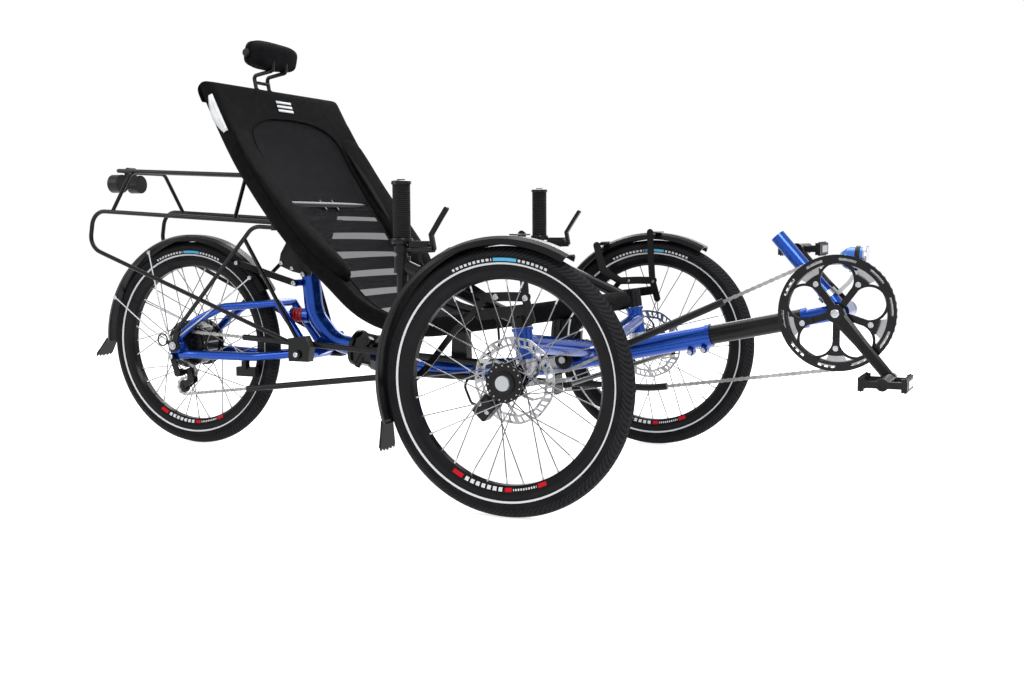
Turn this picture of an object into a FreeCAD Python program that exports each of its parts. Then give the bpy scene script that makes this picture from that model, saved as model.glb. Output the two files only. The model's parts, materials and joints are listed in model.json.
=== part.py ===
import FreeCAD, Part
import os
import Sketcher
from math import asin, atan2, cos, hypot, pi, radians, sin, tan
from FreeCAD import Placement, Rotation, Vector

# Recumbent tadpole trike: two steered front wheels, one driven rear wheel on a swingarm.
# Row frame in millimetres: +X forward, +Y to the rider's left, +Z up, floor at Z = 0.

doc = FreeCAD.newDocument("recumbent_trike")

# ---------------------------------------------------------------- driving sizes
# alias, value, meaning (mm and degrees)
SIZES = [
    ("rear_axle_x", -690.5, "rear axle along X, so that the origin is mid length"),
    ("wheelbase", 1020.0, "rear axle to front axles"),
    ("track", 834.0, "between the front wheel planes"),
    ("wheel_radius", 243.0, "20 inch tyre, outside"),
    ("tyre_width", 40.0, "tyre section"),
    ("tyre_height", 34.0, "tyre, from the edge of the rim flange to the tread"),
    ("rim_depth", 25.0, "rim, from its flange edge to its spoke face"),
    ("rim_width", 30.0, "over the rim flanges"),
    ("spoke_count", 32.0, "spokes in each wheel"),
    ("spoke_radius", 1.0, "2 mm plain spoke"),
    ("seat_gap", 0.3, "clearance between pieces that only rest together"),
    ("shaft_gap", 0.1, "radial running clearance of pins and axles"),
    ("main_radius", 21.0, "main tube, outside"),
    ("boom_radius", 19.0, "telescoping boom tube"),
    ("boom_angle", 11.85, "slope of the boom above level"),
    ("boom_length", 183.0, "boom that shows ahead of the main tube"),
    ("cross_radius", 18.0, "cross tubes to the head tubes"),
    ("riser_radius", 21.0, "curved rear tube"),
    ("kingpin_y", 315.0, "kingpin axis from the middle plane"),
    ("caster", 8.0, "kingpins lean back at the top"),
    ("kingpin_radius", 10.0, "kingpin pin"),
    ("head_radius", 18.0, "head tube, outside"),
    ("head_length", 58.0, "head tube length"),
    ("stub_radius", 8.5, "front stub axle"),
    ("steer_arm", 75.0, "kingpin axis to the tie rod pin"),
    ("tie_rod_radius", 5.0, "tie rod"),
    ("rotor_radius", 80.0, "brake disc"),
    ("rotor_inset", 36.0, "brake disc inboard of the wheel plane"),
    ("fender_gap", 15.0, "tyre to the inside of the mudguard"),
    ("fender_width", 56.0, "mudguard width"),
    ("bar_radius", 11.0, "handlebar tube"),
    ("grip_radius", 17.0, "hand grip"),
    ("grip_length", 113.0, "hand grip"),
    ("crank_length", 155.0, "bottom bracket to pedal axle"),
    ("crank_angle", -48.4, "right crank below level, ahead of the bracket"),
    ("bracket_radius", 20.0, "bottom bracket shell"),
    ("bracket_width", 68.0, "bottom bracket shell"),
    ("spindle_radius", 8.0, "crank spindle"),
    ("ring_teeth", 52.0, "chainring teeth"),
    ("sprocket_teeth", 16.0, "rear sprocket teeth"),
    ("chain_pitch", 12.7, "half inch chain"),
    ("chain_plane", -48.0, "chain centre line along Y"),
    ("chain_height", 8.0, "height of the side plates"),
    ("plate_gap", 3.6, "between the side plates of the chain"),
    ("plate_thick", 1.6, "each side plate of the chain"),
    ("stay_radius", 10.0, "swingarm stays"),
    ("dropout_y", 63.0, "middle of the dropout plates"),
    ("rack_radius", 5.0, "luggage rack tube"),
    ("rail_radius", 11.0, "seat rails"),
    ("seat_half_width", 252.0, "seat cover, half width of the back"),
    ("cover_thick", 14.0, "seat cover"),
]

sheet = doc.addObject("Spreadsheet::Sheet", "sizes")
for row, (alias, value, meaning) in enumerate(SIZES, start=1):
    sheet.set("A%d" % row, meaning)
    sheet.set("B%d" % row, str(value))
    sheet.setAlias("B%d" % row, alias)
doc.recompute()


class Sizes:
    """The sheet's values, for places that are worked out here."""


size = Sizes()
for alias, value, meaning in SIZES:
    setattr(size, alias, float(sheet.get(alias)))

UP = Vector(0, 0, 1)
ACROSS = Vector(0, 1, 0)
FORWARD = Vector(1, 0, 0)
RIGHT = -1
LEFT = 1
SIDES = [("right", RIGHT), ("left", LEFT)]


def rear(x, y, z):
    """A point given from the rear axle: x ahead of it, z above it."""
    return Vector(size.rear_axle_x + x, y, size.wheel_radius + z)


def front(x, y, z):
    """A point given from the line of the front axles."""
    return Vector(size.rear_axle_x + size.wheelbase + x, y, size.wheel_radius + z)


# ---------------------------------------------------------------- small tools
def primitive(kind, name, sizes, at=Vector(), turn=Rotation()):
    """A Part primitive whose sizes are bound to formulas on the sheet."""
    piece = doc.addObject("Part::" + kind, name)
    for prop, formula in sizes.items():
        piece.setExpression(prop, formula)
    piece.Placement = Placement(at, turn)
    return piece


def rod(name, start, end, radius):
    """A round bar from start to end; radius is a formula on the sheet."""
    along = end - start
    piece = primitive("Cylinder", name, {"Radius": radius}, start, Rotation(UP, along))
    piece.Height = along.Length
    return piece


def across(name, x_z, y_from, y_to, radius):
    """A round bar along Y through the point x_z."""
    return rod(name, Vector(x_z.x, y_from, x_z.z), Vector(x_z.x, y_to, x_z.z), radius)


def bent_path(points, bends):
    """Straight runs joined by tangent arcs: bends is one radius, or a list with one for each corner."""
    if not isinstance(bends, list):
        bends = [bends] * (len(points) - 2)
    edges = []
    last = points[0]
    for before, corner, after, bend in zip(points, points[1:], points[2:], bends):
        into = (corner - before).normalize()
        out = (after - corner).normalize()
        turn = into.getAngle(out)
        back = bend * tan(turn / 2)
        start = corner - into * back
        end = corner + out * back
        middle = corner + (out - into).normalize() * (bend / cos(turn / 2) - bend)
        edges.append(Part.LineSegment(last, start).toShape())
        edges.append(Part.Arc(start, middle, end).toShape())
        last = end
    edges.append(Part.LineSegment(last, points[-1]).toShape())
    return Part.Wire(edges)


def shaped(name, shape):
    """A piece whose shape is worked out here."""
    piece = doc.addObject("Part::Feature", name)
    piece.Shape = shape
    return piece


def tube(name, points, bends, radius):
    """A round tube swept along straight runs and tangent arcs."""
    path = shaped(name + "_path", bent_path(points, bends))
    start = points[1] - points[0]
    profile = primitive("Circle", name + "_profile", {"Radius": radius}, points[0], Rotation(UP, start))
    sweep = doc.addObject("Part::Sweep", name)
    sweep.Sections = [profile]
    sweep.Spine = (path, ["Edge%d" % (n + 1) for n in range(len(path.Shape.Edges))])
    sweep.Solid = True
    sweep.Frenet = False
    return sweep


def fuse(name, pieces):
    joined = doc.addObject("Part::MultiFuse", name)
    joined.Shapes = pieces
    return joined


def group(name, pieces):
    """Solids that share a node and don't touch."""
    joined = doc.addObject("Part::Compound", name)
    joined.Links = pieces
    return joined


def cut(name, base, tools):
    piece = doc.addObject("Part::Cut", name)
    piece.Base = base
    piece.Tool = tools[0] if len(tools) == 1 else fuse(name + "_tools", tools)
    return piece


def plate(name, outline, y_from, y_to):
    """A flat plate in the XZ plane: outline points from y_from to y_to."""
    corners = [Vector(p.x, y_from, p.z) for p in outline]
    face = shaped(name + "_face", Part.Face(Part.makePolygon(corners + corners[:1])))
    slab = doc.addObject("Part::Extrusion", name)
    slab.Base = face
    slab.DirMode = "Custom"
    slab.Dir = ACROSS
    slab.LengthFwd = y_to - y_from
    slab.Solid = True
    return slab


def strip(name, points, width, y_from, y_to):
    """A flat bent strip of even width in the XZ plane, round at its ends and corners."""
    pieces = []
    lift = ACROSS * (y_to - y_from)
    for a, b in zip(points, points[1:]):
        along = Vector(b.x - a.x, 0, b.z - a.z).normalize() * (width / 2)
        side = Vector(-along.z, 0, along.x)
        corners = [Vector(p.x, y_from, p.z) for p in (a + side, b + side, b - side, a - side)]
        pieces.append(Part.Face(Part.makePolygon(corners + corners[:1])).extrude(lift))
    for p in points:
        pieces.append(Part.makeCylinder(width / 2, y_to - y_from, Vector(p.x, y_from, p.z), ACROSS))
    return shaped(name, pieces[0].fuse(pieces[1:]).removeSplitter())


def mirrored(name, source):
    """The left hand copy of a right hand piece."""
    copy = doc.addObject("Part::Mirroring", name)
    copy.Source = source
    copy.Normal = ACROSS
    copy.Base = Vector(0, 0, 0)
    return copy


def lathe(name, rows, bound, at):
    """A PartDesign body turned about Y at the point at: rows are (radius, y) corners.

    bound names the corner whose radius follows the sheet and the formula it follows.
    """
    body = doc.addObject("PartDesign::Body", name)
    sketch = body.newObject("Sketcher::SketchObject", name + "_sketch")
    plane = [f for f in body.Origin.OriginFeatures if f.Role == "XY_Plane"][0]
    sketch.AttachmentSupport = [(plane, "")]
    sketch.MapMode = "FlatFace"
    corners = [Vector(r, y, 0) for r, y in rows]
    for a, b in zip(corners, corners[1:] + corners[:1]):
        sketch.addGeometry(Part.LineSegment(a, b), False)
    last = len(corners)
    for n in range(last):
        sketch.addConstraint(Sketcher.Constraint("Coincident", n, 2, (n + 1) % last, 1))
    for n, (r, y) in enumerate(rows):
        sketch.addConstraint(Sketcher.Constraint("DistanceX", -1, 1, n, 1, r))
        if n == bound[0]:
            sketch.setExpression("Constraints[%d]" % (sketch.ConstraintCount - 1), bound[1])
        sketch.addConstraint(Sketcher.Constraint("DistanceY", -1, 1, n, 1, y))
    turned = body.newObject("PartDesign::Revolution", name + "_turned")
    turned.Profile = sketch
    turned.ReferenceAxis = (sketch, ["V_Axis"])
    turned.Angle = 360
    body.Placement = Placement(at, Rotation())
    return body


def named(piece, label):
    """Marks a piece as a sub-part: its label is its node's name."""
    piece.Label = label
    parts[label] = piece
    return piece


parts = {}

# ---------------------------------------------------------------- main lines
slope = Vector(cos(radians(size.boom_angle)), 0, sin(radians(size.boom_angle)))
hinge_slope = Vector(cos(radians(10)), 0, -sin(radians(10)))
lean = Vector(-sin(radians(size.caster)), 0, cos(radians(size.caster)))
lean_forward = Vector(lean.z, 0, -lean.x)
hinge = rear(484, 0, 0)
main_front = front(258, 0, 60)
boom_end = main_front + slope * size.boom_length
bracket = boom_end + slope * 75.5
post_way = Vector(-106, 0, 122).normalize()
riser_top = rear(331, 0, 184)
pivot = rear(346, 0, -8)
LINK_FOOT = rear(311, 0, 150)
RETURN_BEND = 250


def kingpin(side, along, ahead=0.0, out=0.0):
    """A point by a kingpin: along the axis, ahead of it and outboard of it."""
    base = front(-1, side * size.kingpin_y, 0)
    return base + lean * along + lean_forward * ahead + ACROSS * (side * out)


# ---------------------------------------------------------------- frame tubes
def front_frame():
    low_bend = hinge + hinge_slope * 209
    rise = main_front - slope * 386
    backbone = [hinge + hinge_slope * size.seat_gap, low_bend, rise, main_front]
    solid = [tube("main_tube", backbone, 300, "sizes.main_radius")]
    solid.append(rod("main_collar", main_front - slope * 9, main_front, "sizes.main_radius + 2"))
    head_bottom = 33.0
    joint = front(14, 0, 22)
    bores = []
    for name, side in SIDES:
        low = kingpin(side, head_bottom)
        top = kingpin(side, head_bottom + size.head_length)
        solid.append(rod("head_tube_" + name, low, top, "sizes.head_radius"))
        middle = (low + top) / 2
        solid.append(rod("cross_tube_" + name, joint, middle, "sizes.cross_radius"))
        for tag, edge in (("low", low), ("top", top - lean * 6)):
            ring = rod("head_ring_%s_%s" % (tag, name), edge, edge + lean * 6, "sizes.head_radius + 2.5")
            solid.append(ring)
        bores.append(rod("head_bore_" + name, low - lean, top + lean, "sizes.kingpin_radius + sizes.shaft_gap"))
    for n, back in enumerate((14, 42)):
        lug = main_front - slope * back - Vector(0, 0, size.main_radius + 6)
        solid.append(across("clamp_lug_%d" % n, lug, -9, 9, "7"))
        solid.append(across("clamp_bolt_%d" % n, lug, -16, 16, "4"))
    bores.append(rod("boom_bore", main_front - slope * 150, main_front + slope, "sizes.boom_radius + sizes.seat_gap"))
    slit = primitive("Box", "clamp_slit", {"Length": "70", "Width": "2.4", "Height": "30"},
                     main_front - slope * 62 + Vector(0, -1.2, -size.main_radius - 20), Rotation())
    bores.append(slit)
    named(cut("front_frame_cut", fuse("front_frame_solid", solid), bores), "front_frame")


def rear_frame():
    back = Vector(-hinge_slope.x, 0, -hinge_slope.z)
    foot = hinge + back * 90
    line = [hinge + back * size.seat_gap, foot, rear(341, 0, 77), riser_top]
    solid = [tube("riser_tube", line, 85, "sizes.riser_radius")]
    solid.append(rod("riser_cap", riser_top - UP * 6, riser_top, "sizes.riser_radius + 1.5"))
    lug = [rear(346, 0, -21), rear(384, 0, -6), rear(372, 0, 34), rear(337, 0, 4)]
    solid.append(plate("pivot_lug", lug, -14, 14))
    solid.append(across("pivot_eye", pivot, -14, 14, "15"))
    stop = rear(330, 0, 75)
    solid.append(rod("elastomer_seat", stop - FORWARD * 14, stop, "17"))
    solid.append(across("link_lug", LINK_FOOT, -30.2, 11, "8"))
    bores = [across("pivot_bore", pivot, -15, 15, "8 + sizes.shaft_gap")]
    bores.append(across("seat_stay_bore", rear(331, 0, 170), -40, 40, "4 + sizes.seat_gap"))
    named(cut("rear_frame_cut", fuse("rear_frame_solid", solid), bores), "rear_frame")


def frame_clamp():
    half = 30
    body = primitive("Prism", "clamp_body", {"Polygon": "8", "Circumradius": "38", "Height": "60"},
                     hinge - hinge_slope * half, Rotation(UP, hinge_slope))
    ends = [rod("clamp_ridge_%d" % n, hinge + hinge_slope * at, hinge + hinge_slope * (at + 8), "41")
            for n, at in enumerate((-30, 22))]
    lever = rod("clamp_lever", hinge + Vector(-12, -30, -34), hinge + Vector(26, -30, 30), "7")
    bore = rod("clamp_bore", hinge - hinge_slope * 40, hinge + hinge_slope * 40, "sizes.main_radius + sizes.seat_gap")
    named(cut("frame_clamp_cut", fuse("frame_clamp_solid", [body, lever] + ends), [bore]), "frame_clamp")


def boom():
    inside = main_front - slope * 149
    named(rod("boom_tube", inside, boom_end, "sizes.boom_radius"), "boom")


def bottom_bracket():
    start = boom_end + slope * size.seat_gap
    half = size.bracket_width / 2
    post_end = bracket + post_way * 190
    solid = [rod("boom_ring", start, start + slope * 9, "sizes.boom_radius + 1")]
    solid.append(rod("bracket_stub", start, bracket, "15.5"))
    solid.append(across("bracket_shell", bracket, -half, half, "sizes.bracket_radius"))
    solid.append(rod("light_post", bracket, post_end, "14.3"))
    solid.append(rod("light_post_foot", bracket, bracket + post_way * 52, "15.2"))
    bore = across("spindle_bore", bracket, -half - 1, half + 1, "sizes.spindle_radius + sizes.shaft_gap")
    named(cut("bottom_bracket_cut", fuse("bottom_bracket_solid", solid), [bore]), "bottom_bracket")


def headlight():
    centre = bracket + Vector(17, 0, 101)
    ahead = Rotation(UP, FORWARD)
    body = primitive("Cylinder", "lamp_body", {"Radius": "23", "Height": "24"}, centre, ahead)
    rim = primitive("Cylinder", "lamp_rim", {"Radius": "24.5", "Height": "7"}, centre + FORWARD * 22, ahead)
    dome = primitive("Sphere", "lamp_dome", {"Radius": "23"}, centre)
    named(fuse("headlight_solid", [body, rim, dome]), "headlight")
    foot = bracket + Vector(-6, 0, 36)
    top = centre + Vector(8, 0, -23 - size.seat_gap)
    arm = strip("lamp_arm", [foot, bracket + Vector(14, 0, 56), top - UP * 5], 8, -7, 7)
    pad_line = [top + Vector(-12, 0, -3), top + Vector(12, 0, -3), top + FORWARD * 12, top - FORWARD * 12]
    pad = plate("lamp_pad", pad_line, -8, 8)
    band = rod("lamp_band", bracket + post_way * 34, bracket + post_way * 46, "19")
    hole = rod("lamp_band_hole", bracket + post_way * 20, bracket + post_way * 80, "15.2 + sizes.seat_gap")
    named(cut("headlight_bracket_cut", fuse("headlight_bracket_solid", [arm, pad, band]), [hole]),
          "headlight_bracket")


# ---------------------------------------------------------------- rear end
def swingarm():
    solid = []
    for name, side in SIDES:
        # station: x, y, z of each bend from the axle
        lower = [(6, size.dropout_y + 1, -21), (48, size.dropout_y + 1, -21), (200, 40, -23), (346, 30, -8)]
        upper = [(6, size.dropout_y + 2, 20), (52, 62, 60), (118, 46, 92), (262, 32, 103)]
        strut = [(262, 32, 103), (346, 30, -8)]
        points = [rear(x, side * y, z) for x, y, z in lower]
        solid.append(tube("lower_stay_" + name, points, 120, "sizes.stay_radius"))
        points = [rear(x, side * y, z) for x, y, z in upper]
        solid.append(tube("upper_stay_" + name, points, 45, "sizes.stay_radius - 1"))
        points = [rear(x, side * y, z) for x, y, z in strut]
        solid.append(rod("strut_" + name, points[0], points[1], "sizes.stay_radius - 1"))
        cheeks = sorted((side * (size.dropout_y - 3), side * (size.dropout_y + 3)))
        outline = [(-22, -8), (-14, 14), (10, 20), (26, -8), (24, -32), (-20, -34)]
        solid.append(plate("dropout_" + name, [rear(x, 0, z) for x, z in outline], cheeks[0], cheeks[1]))
        eye = sorted((side * (14 + size.seat_gap), side * 40))
        solid.append(across("swing_eye_" + name, pivot, eye[0], eye[1], "15"))
    solid.append(across("upper_bridge", rear(262, 0, 103), -32, 32, "sizes.stay_radius - 1"))
    solid.append(across("elastomer_bridge", rear(281, 0, 76), -32, 32, "8"))
    solid.append(rod("elastomer_plate", rear(282, 0, 75), rear(289, 0, 75), "18"))
    bores = [across("swing_bore", pivot, -50, 50, "8 + sizes.shaft_gap")]
    bores.append(across("axle_bore", rear(0, 0, 0), -75, 75, "7 + sizes.seat_gap"))
    named(cut("swingarm_cut", fuse("swingarm_solid", solid), bores), "swingarm")
    near, far = rear(289 + size.seat_gap, 0, 75), rear(316 - size.seat_gap, 0, 75)
    block = [rod("elastomer_core", near, far, "13")]
    third = (far - near) / 3
    for n in range(3):
        block.append(rod("elastomer_rib_%d" % n, near + third * n, near + third * (n + 0.7), "16"))
    named(fuse("elastomer_solid", block), "elastomer_block")
    pin = [across("pivot_pin_bar", pivot, -82, 82, "8")]
    pin.append(across("pivot_pin_head", pivot, -86, -82, "10"))
    pin.append(across("pivot_pin_nut", pivot, 82, 86, "10"))
    named(fuse("pivot_pin_solid", pin), "pivot_pin")


def rear_axle():
    outer = size.dropout_y + 3 + size.seat_gap
    solid = [across("axle_bar", rear(0, 0, 0), -86, 86, "7")]
    for name, side in SIDES:
        ends = sorted((side * outer, side * (outer + 9)))
        solid.append(across("axle_washer_" + name, rear(0, 0, 0), ends[0], ends[1], "10"))
        ends = sorted((side * (outer + 9), side * 88))
        solid.append(across("axle_nut_" + name, rear(0, 0, 0), ends[0], ends[1], "9.5"))
    named(fuse("rear_axle_solid", solid), "rear_axle")


# ---------------------------------------------------------------- wheels
def tyre(label, centre):
    half = size.tyre_width / 2
    seat_r = size.wheel_radius - size.tyre_height
    lip = size.rim_width / 2 - 2
    rows = [(seat_r - 5, -lip + 1), (seat_r + size.seat_gap, -lip + 1), (seat_r + size.seat_gap, -lip - 2),
            (seat_r + 7, -half + 1), (seat_r + 15, -half), (seat_r + 24, -half + 4),
            (size.wheel_radius - 3, -9), (size.wheel_radius, 0), (size.wheel_radius - 3, 9),
            (seat_r + 24, half - 4), (seat_r + 15, half), (seat_r + 7, half - 1),
            (seat_r + size.seat_gap, lip + 2), (seat_r + size.seat_gap, lip - 1), (seat_r - 5, lip - 1)]
    named(lathe(label + "_body", rows, (7, "sizes.wheel_radius"), centre), label)


def rim(label, centre):
    half = size.rim_width / 2
    lip = size.wheel_radius - size.tyre_height
    inner = lip - size.rim_depth
    rows = [(inner, -7), (inner + 5, -half + 2), (lip - 9, -half), (lip, -half), (lip, -half + 2.4),
            (lip - 5 - size.seat_gap, -half + 2.6), (lip - 5 - size.seat_gap, -5), (lip - 9, -3),
            (lip - 9, 3), (lip - 5 - size.seat_gap, 5), (lip - 5 - size.seat_gap, half - 2.6),
            (lip, half - 2.4), (lip, half), (lip - 9, half), (inner + 5, half - 2), (inner, 7)]
    follow = "sizes.wheel_radius - sizes.tyre_height - sizes.rim_depth"
    named(lathe(label + "_body", rows, (0, follow), centre), label)


def spokes(centre, flanges):
    """Spokes from the hub flanges to the rim: flanges are (radius, y) inboard and outboard."""
    wires = []
    count = int(size.spoke_count)
    reach = size.wheel_radius - size.tyre_height - size.rim_depth - size.seat_gap - 0.8
    for n in range(count):
        radius, y = flanges[n % 2]
        at_rim = 2 * pi * n / count
        lead = radians(62) * (1 if (n // 2) % 2 else -1)
        at_hub = at_rim + lead
        hub_end = centre + Vector(radius * cos(at_hub), y, radius * sin(at_hub))
        rim_end = centre + Vector(reach * cos(at_rim), 3 * (1 if y > 0 else -1), reach * sin(at_rim))
        along = rim_end - hub_end
        across_y = along.cross(Vector(0, 1, 0)).normalize() * size.spoke_radius
        across_x = across_y.cross(along).normalize() * size.spoke_radius
        section = ((1, 0.6), (1, -0.6), (0, -1.2), (-1, -0.6), (-1, 0.6), (0, 1.2))
        corners = [hub_end + across_y * a + across_x * b for a, b in section]
        wires.append(Part.Face(Part.makePolygon(corners + corners[:1])).extrude(along))
    return wires


def front_hub():
    centre = front(0, -size.track / 2, 0)
    cap = -17.0
    bore = size.stub_radius + size.shaft_gap
    # radius and y of each corner, outboard end first, down to the blind bore
    rows = [(0.0, cap), (13.5, cap), (13.5, cap + 4), (21, cap + 5), (21, cap + 8), (35.5, cap + 8),
            (35.5, cap + 11), (24, cap + 14), (18, cap + 18), (17, 18), (30, 20), (30, 23), (20, 26), (20, 38),
            (bore, 38), (bore, -8), (0.0, -8)]
    body = lathe("front_hub_body", rows, (5, "35.5"), centre)
    doc.recompute()
    wires = spokes(centre, [(27.5, 21.5), (33, cap + 9.5)])
    hub = shaped("front_hub_spoked", body.Shape.fuse(wires))
    named(hub, "hub_right")
    named(mirrored("front_hub_left", hub), "hub_left")


def rear_hub():
    centre = rear(0, 0, 0)
    bore = 7 + size.shaft_gap
    rows = [(bore, -58), (10.5, -58), (10.5, -47), (22, -45), (22, -40), (46, -37), (46, -34.5), (56, -34), (56, -31),
            (50, -29), (52, -10), (52, 10), (50, 29), (56, 31), (56, 34), (46, 34.5), (30, 40), (13, 44),
            (10.5, 46), (10.5, 58), (bore, 58)]
    body = lathe("rear_hub_body", rows, (7, "56"), centre)
    doc.recompute()
    wires = spokes(centre, [(53, 32.5), (53, -32.5)])
    gear = toothed(size.sprocket_teeth, 0.0)
    gear.translate(centre + ACROSS * (size.chain_plane - 1))
    wires.append(gear.cut(Part.makeCylinder(bore, 20, centre + ACROSS * (size.chain_plane - 10), ACROSS)))
    named(shaped("rear_hub_spoked", body.Shape.fuse(wires)), "hub_rear")


def toothed(teeth, inner):
    """A 2 mm sprocket blank with chain teeth, centred on the Y axis."""
    pitch_radius = size.chain_pitch / (2 * sin(pi / teeth))
    root = pitch_radius - 4.2
    tip = pitch_radius + 3.0
    step = 2 * pi / teeth
    corners = []
    for n in range(int(teeth)):
        for share, radius in ((-0.30, root), (-0.09, tip), (0.09, tip), (0.30, root)):
            angle = step * (n + share)
            corners.append(Vector(radius * cos(angle), 0, radius * sin(angle)))
    blank = Part.Face(Part.makePolygon(corners + corners[:1])).extrude(ACROSS * 2)
    if inner > 0:
        blank = blank.cut(Part.makeCylinder(inner, 6, Vector(0, -2, 0), ACROSS))
    return blank


def rotor():
    inset = size.rotor_inset
    centre = front(0, -size.track / 2 + inset, 0)
    disc = Part.makeCylinder(size.rotor_radius, 2, centre - ACROSS, ACROSS)
    disc = disc.cut(Part.makeCylinder(20 + size.seat_gap, 10, centre - ACROSS * 5, ACROSS))
    windows = []
    for n in range(6):
        angle = 60 * n
        window = Part.makeCylinder(60, 6, centre - ACROSS * 3, ACROSS, 38)
        window = window.cut(Part.makeCylinder(32, 6, centre - ACROSS * 3, ACROSS))
        window.rotate(centre, ACROSS, angle)
        windows.append(window)
    for n in range(12):
        angle = 2 * pi * n / 12
        hole = centre + Vector(70 * cos(angle), -3, 70 * sin(angle))
        windows.append(Part.makeCylinder(3, 6, hole, ACROSS))
    disc = disc.cut(windows)
    named(shaped("rotor_disc", disc), "rotor_right")
    named(mirrored("rotor_disc_left", parts["rotor_right"]), "rotor_left")


# ---------------------------------------------------------------- steering, right hand side
def knuckle():
    side = RIGHT
    pin = rod("kingpin_bar", kingpin(side, 10), kingpin(side, 131), "sizes.kingpin_radius")
    solid = [pin, rod("knuckle_flange", kingpin(side, 17), kingpin(side, 33 - size.seat_gap), "20")]
    solid.append(rod("knuckle_barrel", kingpin(side, -18), kingpin(side, 18), "15"))
    axle = front(0, side * size.kingpin_y, 0)
    tip = -size.track / 2 - 7
    solid.append(across("stub_axle", axle, tip, axle.y, "sizes.stub_radius"))
    solid.append(across("stub_shoulder", axle, axle.y - 60, axle.y, "13"))
    arm_low, arm_high = -17, -10
    eye = kingpin(side, arm_low, size.steer_arm)
    solid.append(rod("arm_eye", eye, kingpin(side, arm_high, size.steer_arm), "10"))
    bar = Part.makeBox(size.steer_arm, 16, arm_high - arm_low)
    bar.Placement = Placement(kingpin(side, arm_low) - ACROSS * 8, Rotation(ACROSS, -size.caster))
    solid.append(shaped("arm_bar", bar))
    solid.append(rod("tie_pin", kingpin(side, -29, size.steer_arm), kingpin(side, arm_high, size.steer_arm), "4"))
    solid.append(rod("tie_pin_nut", kingpin(side, -33, size.steer_arm),
                     kingpin(side, -28 + size.seat_gap, size.steer_arm), "7"))
    # caliper lug, behind and below the axle
    lug = [front(-4, 0, 10), front(-52, 0, -20), front(-66, 0, -38), front(-46, 0, -40), front(4, 0, -14)]
    inner = -size.track / 2 + size.rotor_inset + 19 + size.seat_gap
    solid.append(plate("caliper_lug", lug, inner, inner + 8))
    return named(fuse("knuckle_solid", solid), "knuckle_right")


def handlebar():
    side = RIGHT
    bar_y = side * (size.kingpin_y + 15)
    bar_foot = front(-258, bar_y, 147)
    bar_top = front(-258, bar_y, 362)
    stem_low = kingpin(side, 112, -12, 2)
    stem_high = front(-258, bar_y, 205)
    solid = [rod("upright", bar_foot, bar_top, "sizes.bar_radius")]
    solid.append(rod("stem", stem_low, stem_high, "12.5"))
    solid.append(rod("bar_clamp", stem_high - UP * 16, stem_high + UP * 16, "16"))
    solid.append(rod("pin_clamp", kingpin(side, 92), kingpin(side, 132), "19"))
    arm = [kingpin(side, 124, -60), kingpin(side, 124, 30)]
    solid.append(across("bridge_post", kingpin(side, 118), side * size.kingpin_y - 36, side * size.kingpin_y, "9"))
    bridge = strip("guard_bridge", arm, 20, side * size.kingpin_y - 46, side * size.kingpin_y - 36)
    solid.append(bridge)
    bore = rod("clamp_hole", kingpin(side, 80), kingpin(side, 140), "sizes.kingpin_radius + 0.05")
    named(cut("handlebar_cut", fuse("handlebar_solid", solid), [bore]), "handlebar_right")
    grip_low = bar_foot + UP * 103
    grip = rod("grip_body", grip_low, grip_low + UP * size.grip_length, "sizes.grip_radius")
    collar = rod("grip_collar", grip_low - UP * 6, grip_low + UP * 4, "sizes.grip_radius + 2")
    hole = rod("grip_hole", bar_foot, bar_top + UP * size.seat_gap, "sizes.bar_radius + 0.15")
    named(cut("grip_cut", fuse("grip_solid", [grip, collar]), [hole]), "grip_right")
    return bar_foot


def brake(bar_foot):
    side = RIGHT
    clamp = bar_foot + UP * 87
    body = [rod("lever_clamp", clamp - UP * 6, clamp + UP * 6, "16")]
    tip = clamp + Vector(72, -6, 2)
    body.append(rod("lever_cylinder", clamp + Vector(14, 0, 0), tip, "7.5"))
    tank = primitive("Box", "lever_tank", {"Length": "40", "Width": "18", "Height": "12"},
                     clamp + Vector(22, -12, 4), Rotation())
    body.append(tank)
    blade = [tip + Vector(0, 0, 0), tip + Vector(-5, 0, 26), tip + Vector(12, 0, 52), tip + Vector(27, 0, 74)]
    body.append(strip("lever_blade", blade, 8, tip.y - 4, tip.y + 4))
    hole = rod("lever_hole", clamp - UP * 20, clamp + UP * 20, "sizes.bar_radius + 0.15")
    named(cut("lever_cut", fuse("lever_solid", body), [hole]), "brake_lever_right")
    # the caliper straddles the disc
    disc_y = -size.track / 2 + size.rotor_inset
    middle = front(-56, disc_y, -52)
    block = primitive("Box", "caliper_block", {"Length": "44", "Width": "32", "Height": "34"},
                      Vector(-22, -13, -17), Rotation())
    rounded = doc.addObject("Part::Fillet", "caliper_rounded")
    rounded.Base = block
    doc.recompute()
    rounded.Edges = [(n + 1, 5.0, 5.0) for n in range(len(block.Shape.Edges))]
    rounded.Placement = Placement(middle, Rotation(ACROSS, -47))
    slot = shaped("caliper_slot", Part.makeCylinder(size.rotor_radius + 5, 6, front(0, disc_y - 3, 0), ACROSS))
    piston = across("caliper_piston", middle, disc_y + 19, disc_y + 27, "11")
    named(cut("caliper_cut", fuse("caliper_solid", [rounded, piston]), [slot]), "brake_caliper_right")
    hose_start = clamp + Vector(40, -2.5, -7)
    pin_y = size.kingpin_y
    hose = [hose_start, hose_start - UP * 16, hose_start + Vector(0, 24, -34),
            front(-122, side * (pin_y - 17), 138), kingpin(side, 112, -60, -26), kingpin(side, 60, -62, -22),
            front(-94, side * (pin_y + 15), 30), front(-122, side * (pin_y + 25), -20),
            front(-100, side * (pin_y + 40), -50), middle + Vector(-32, 16, 2)]
    named(tube("brake_hose", hose, 14, "2.5"), "brake_hose_right")


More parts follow.
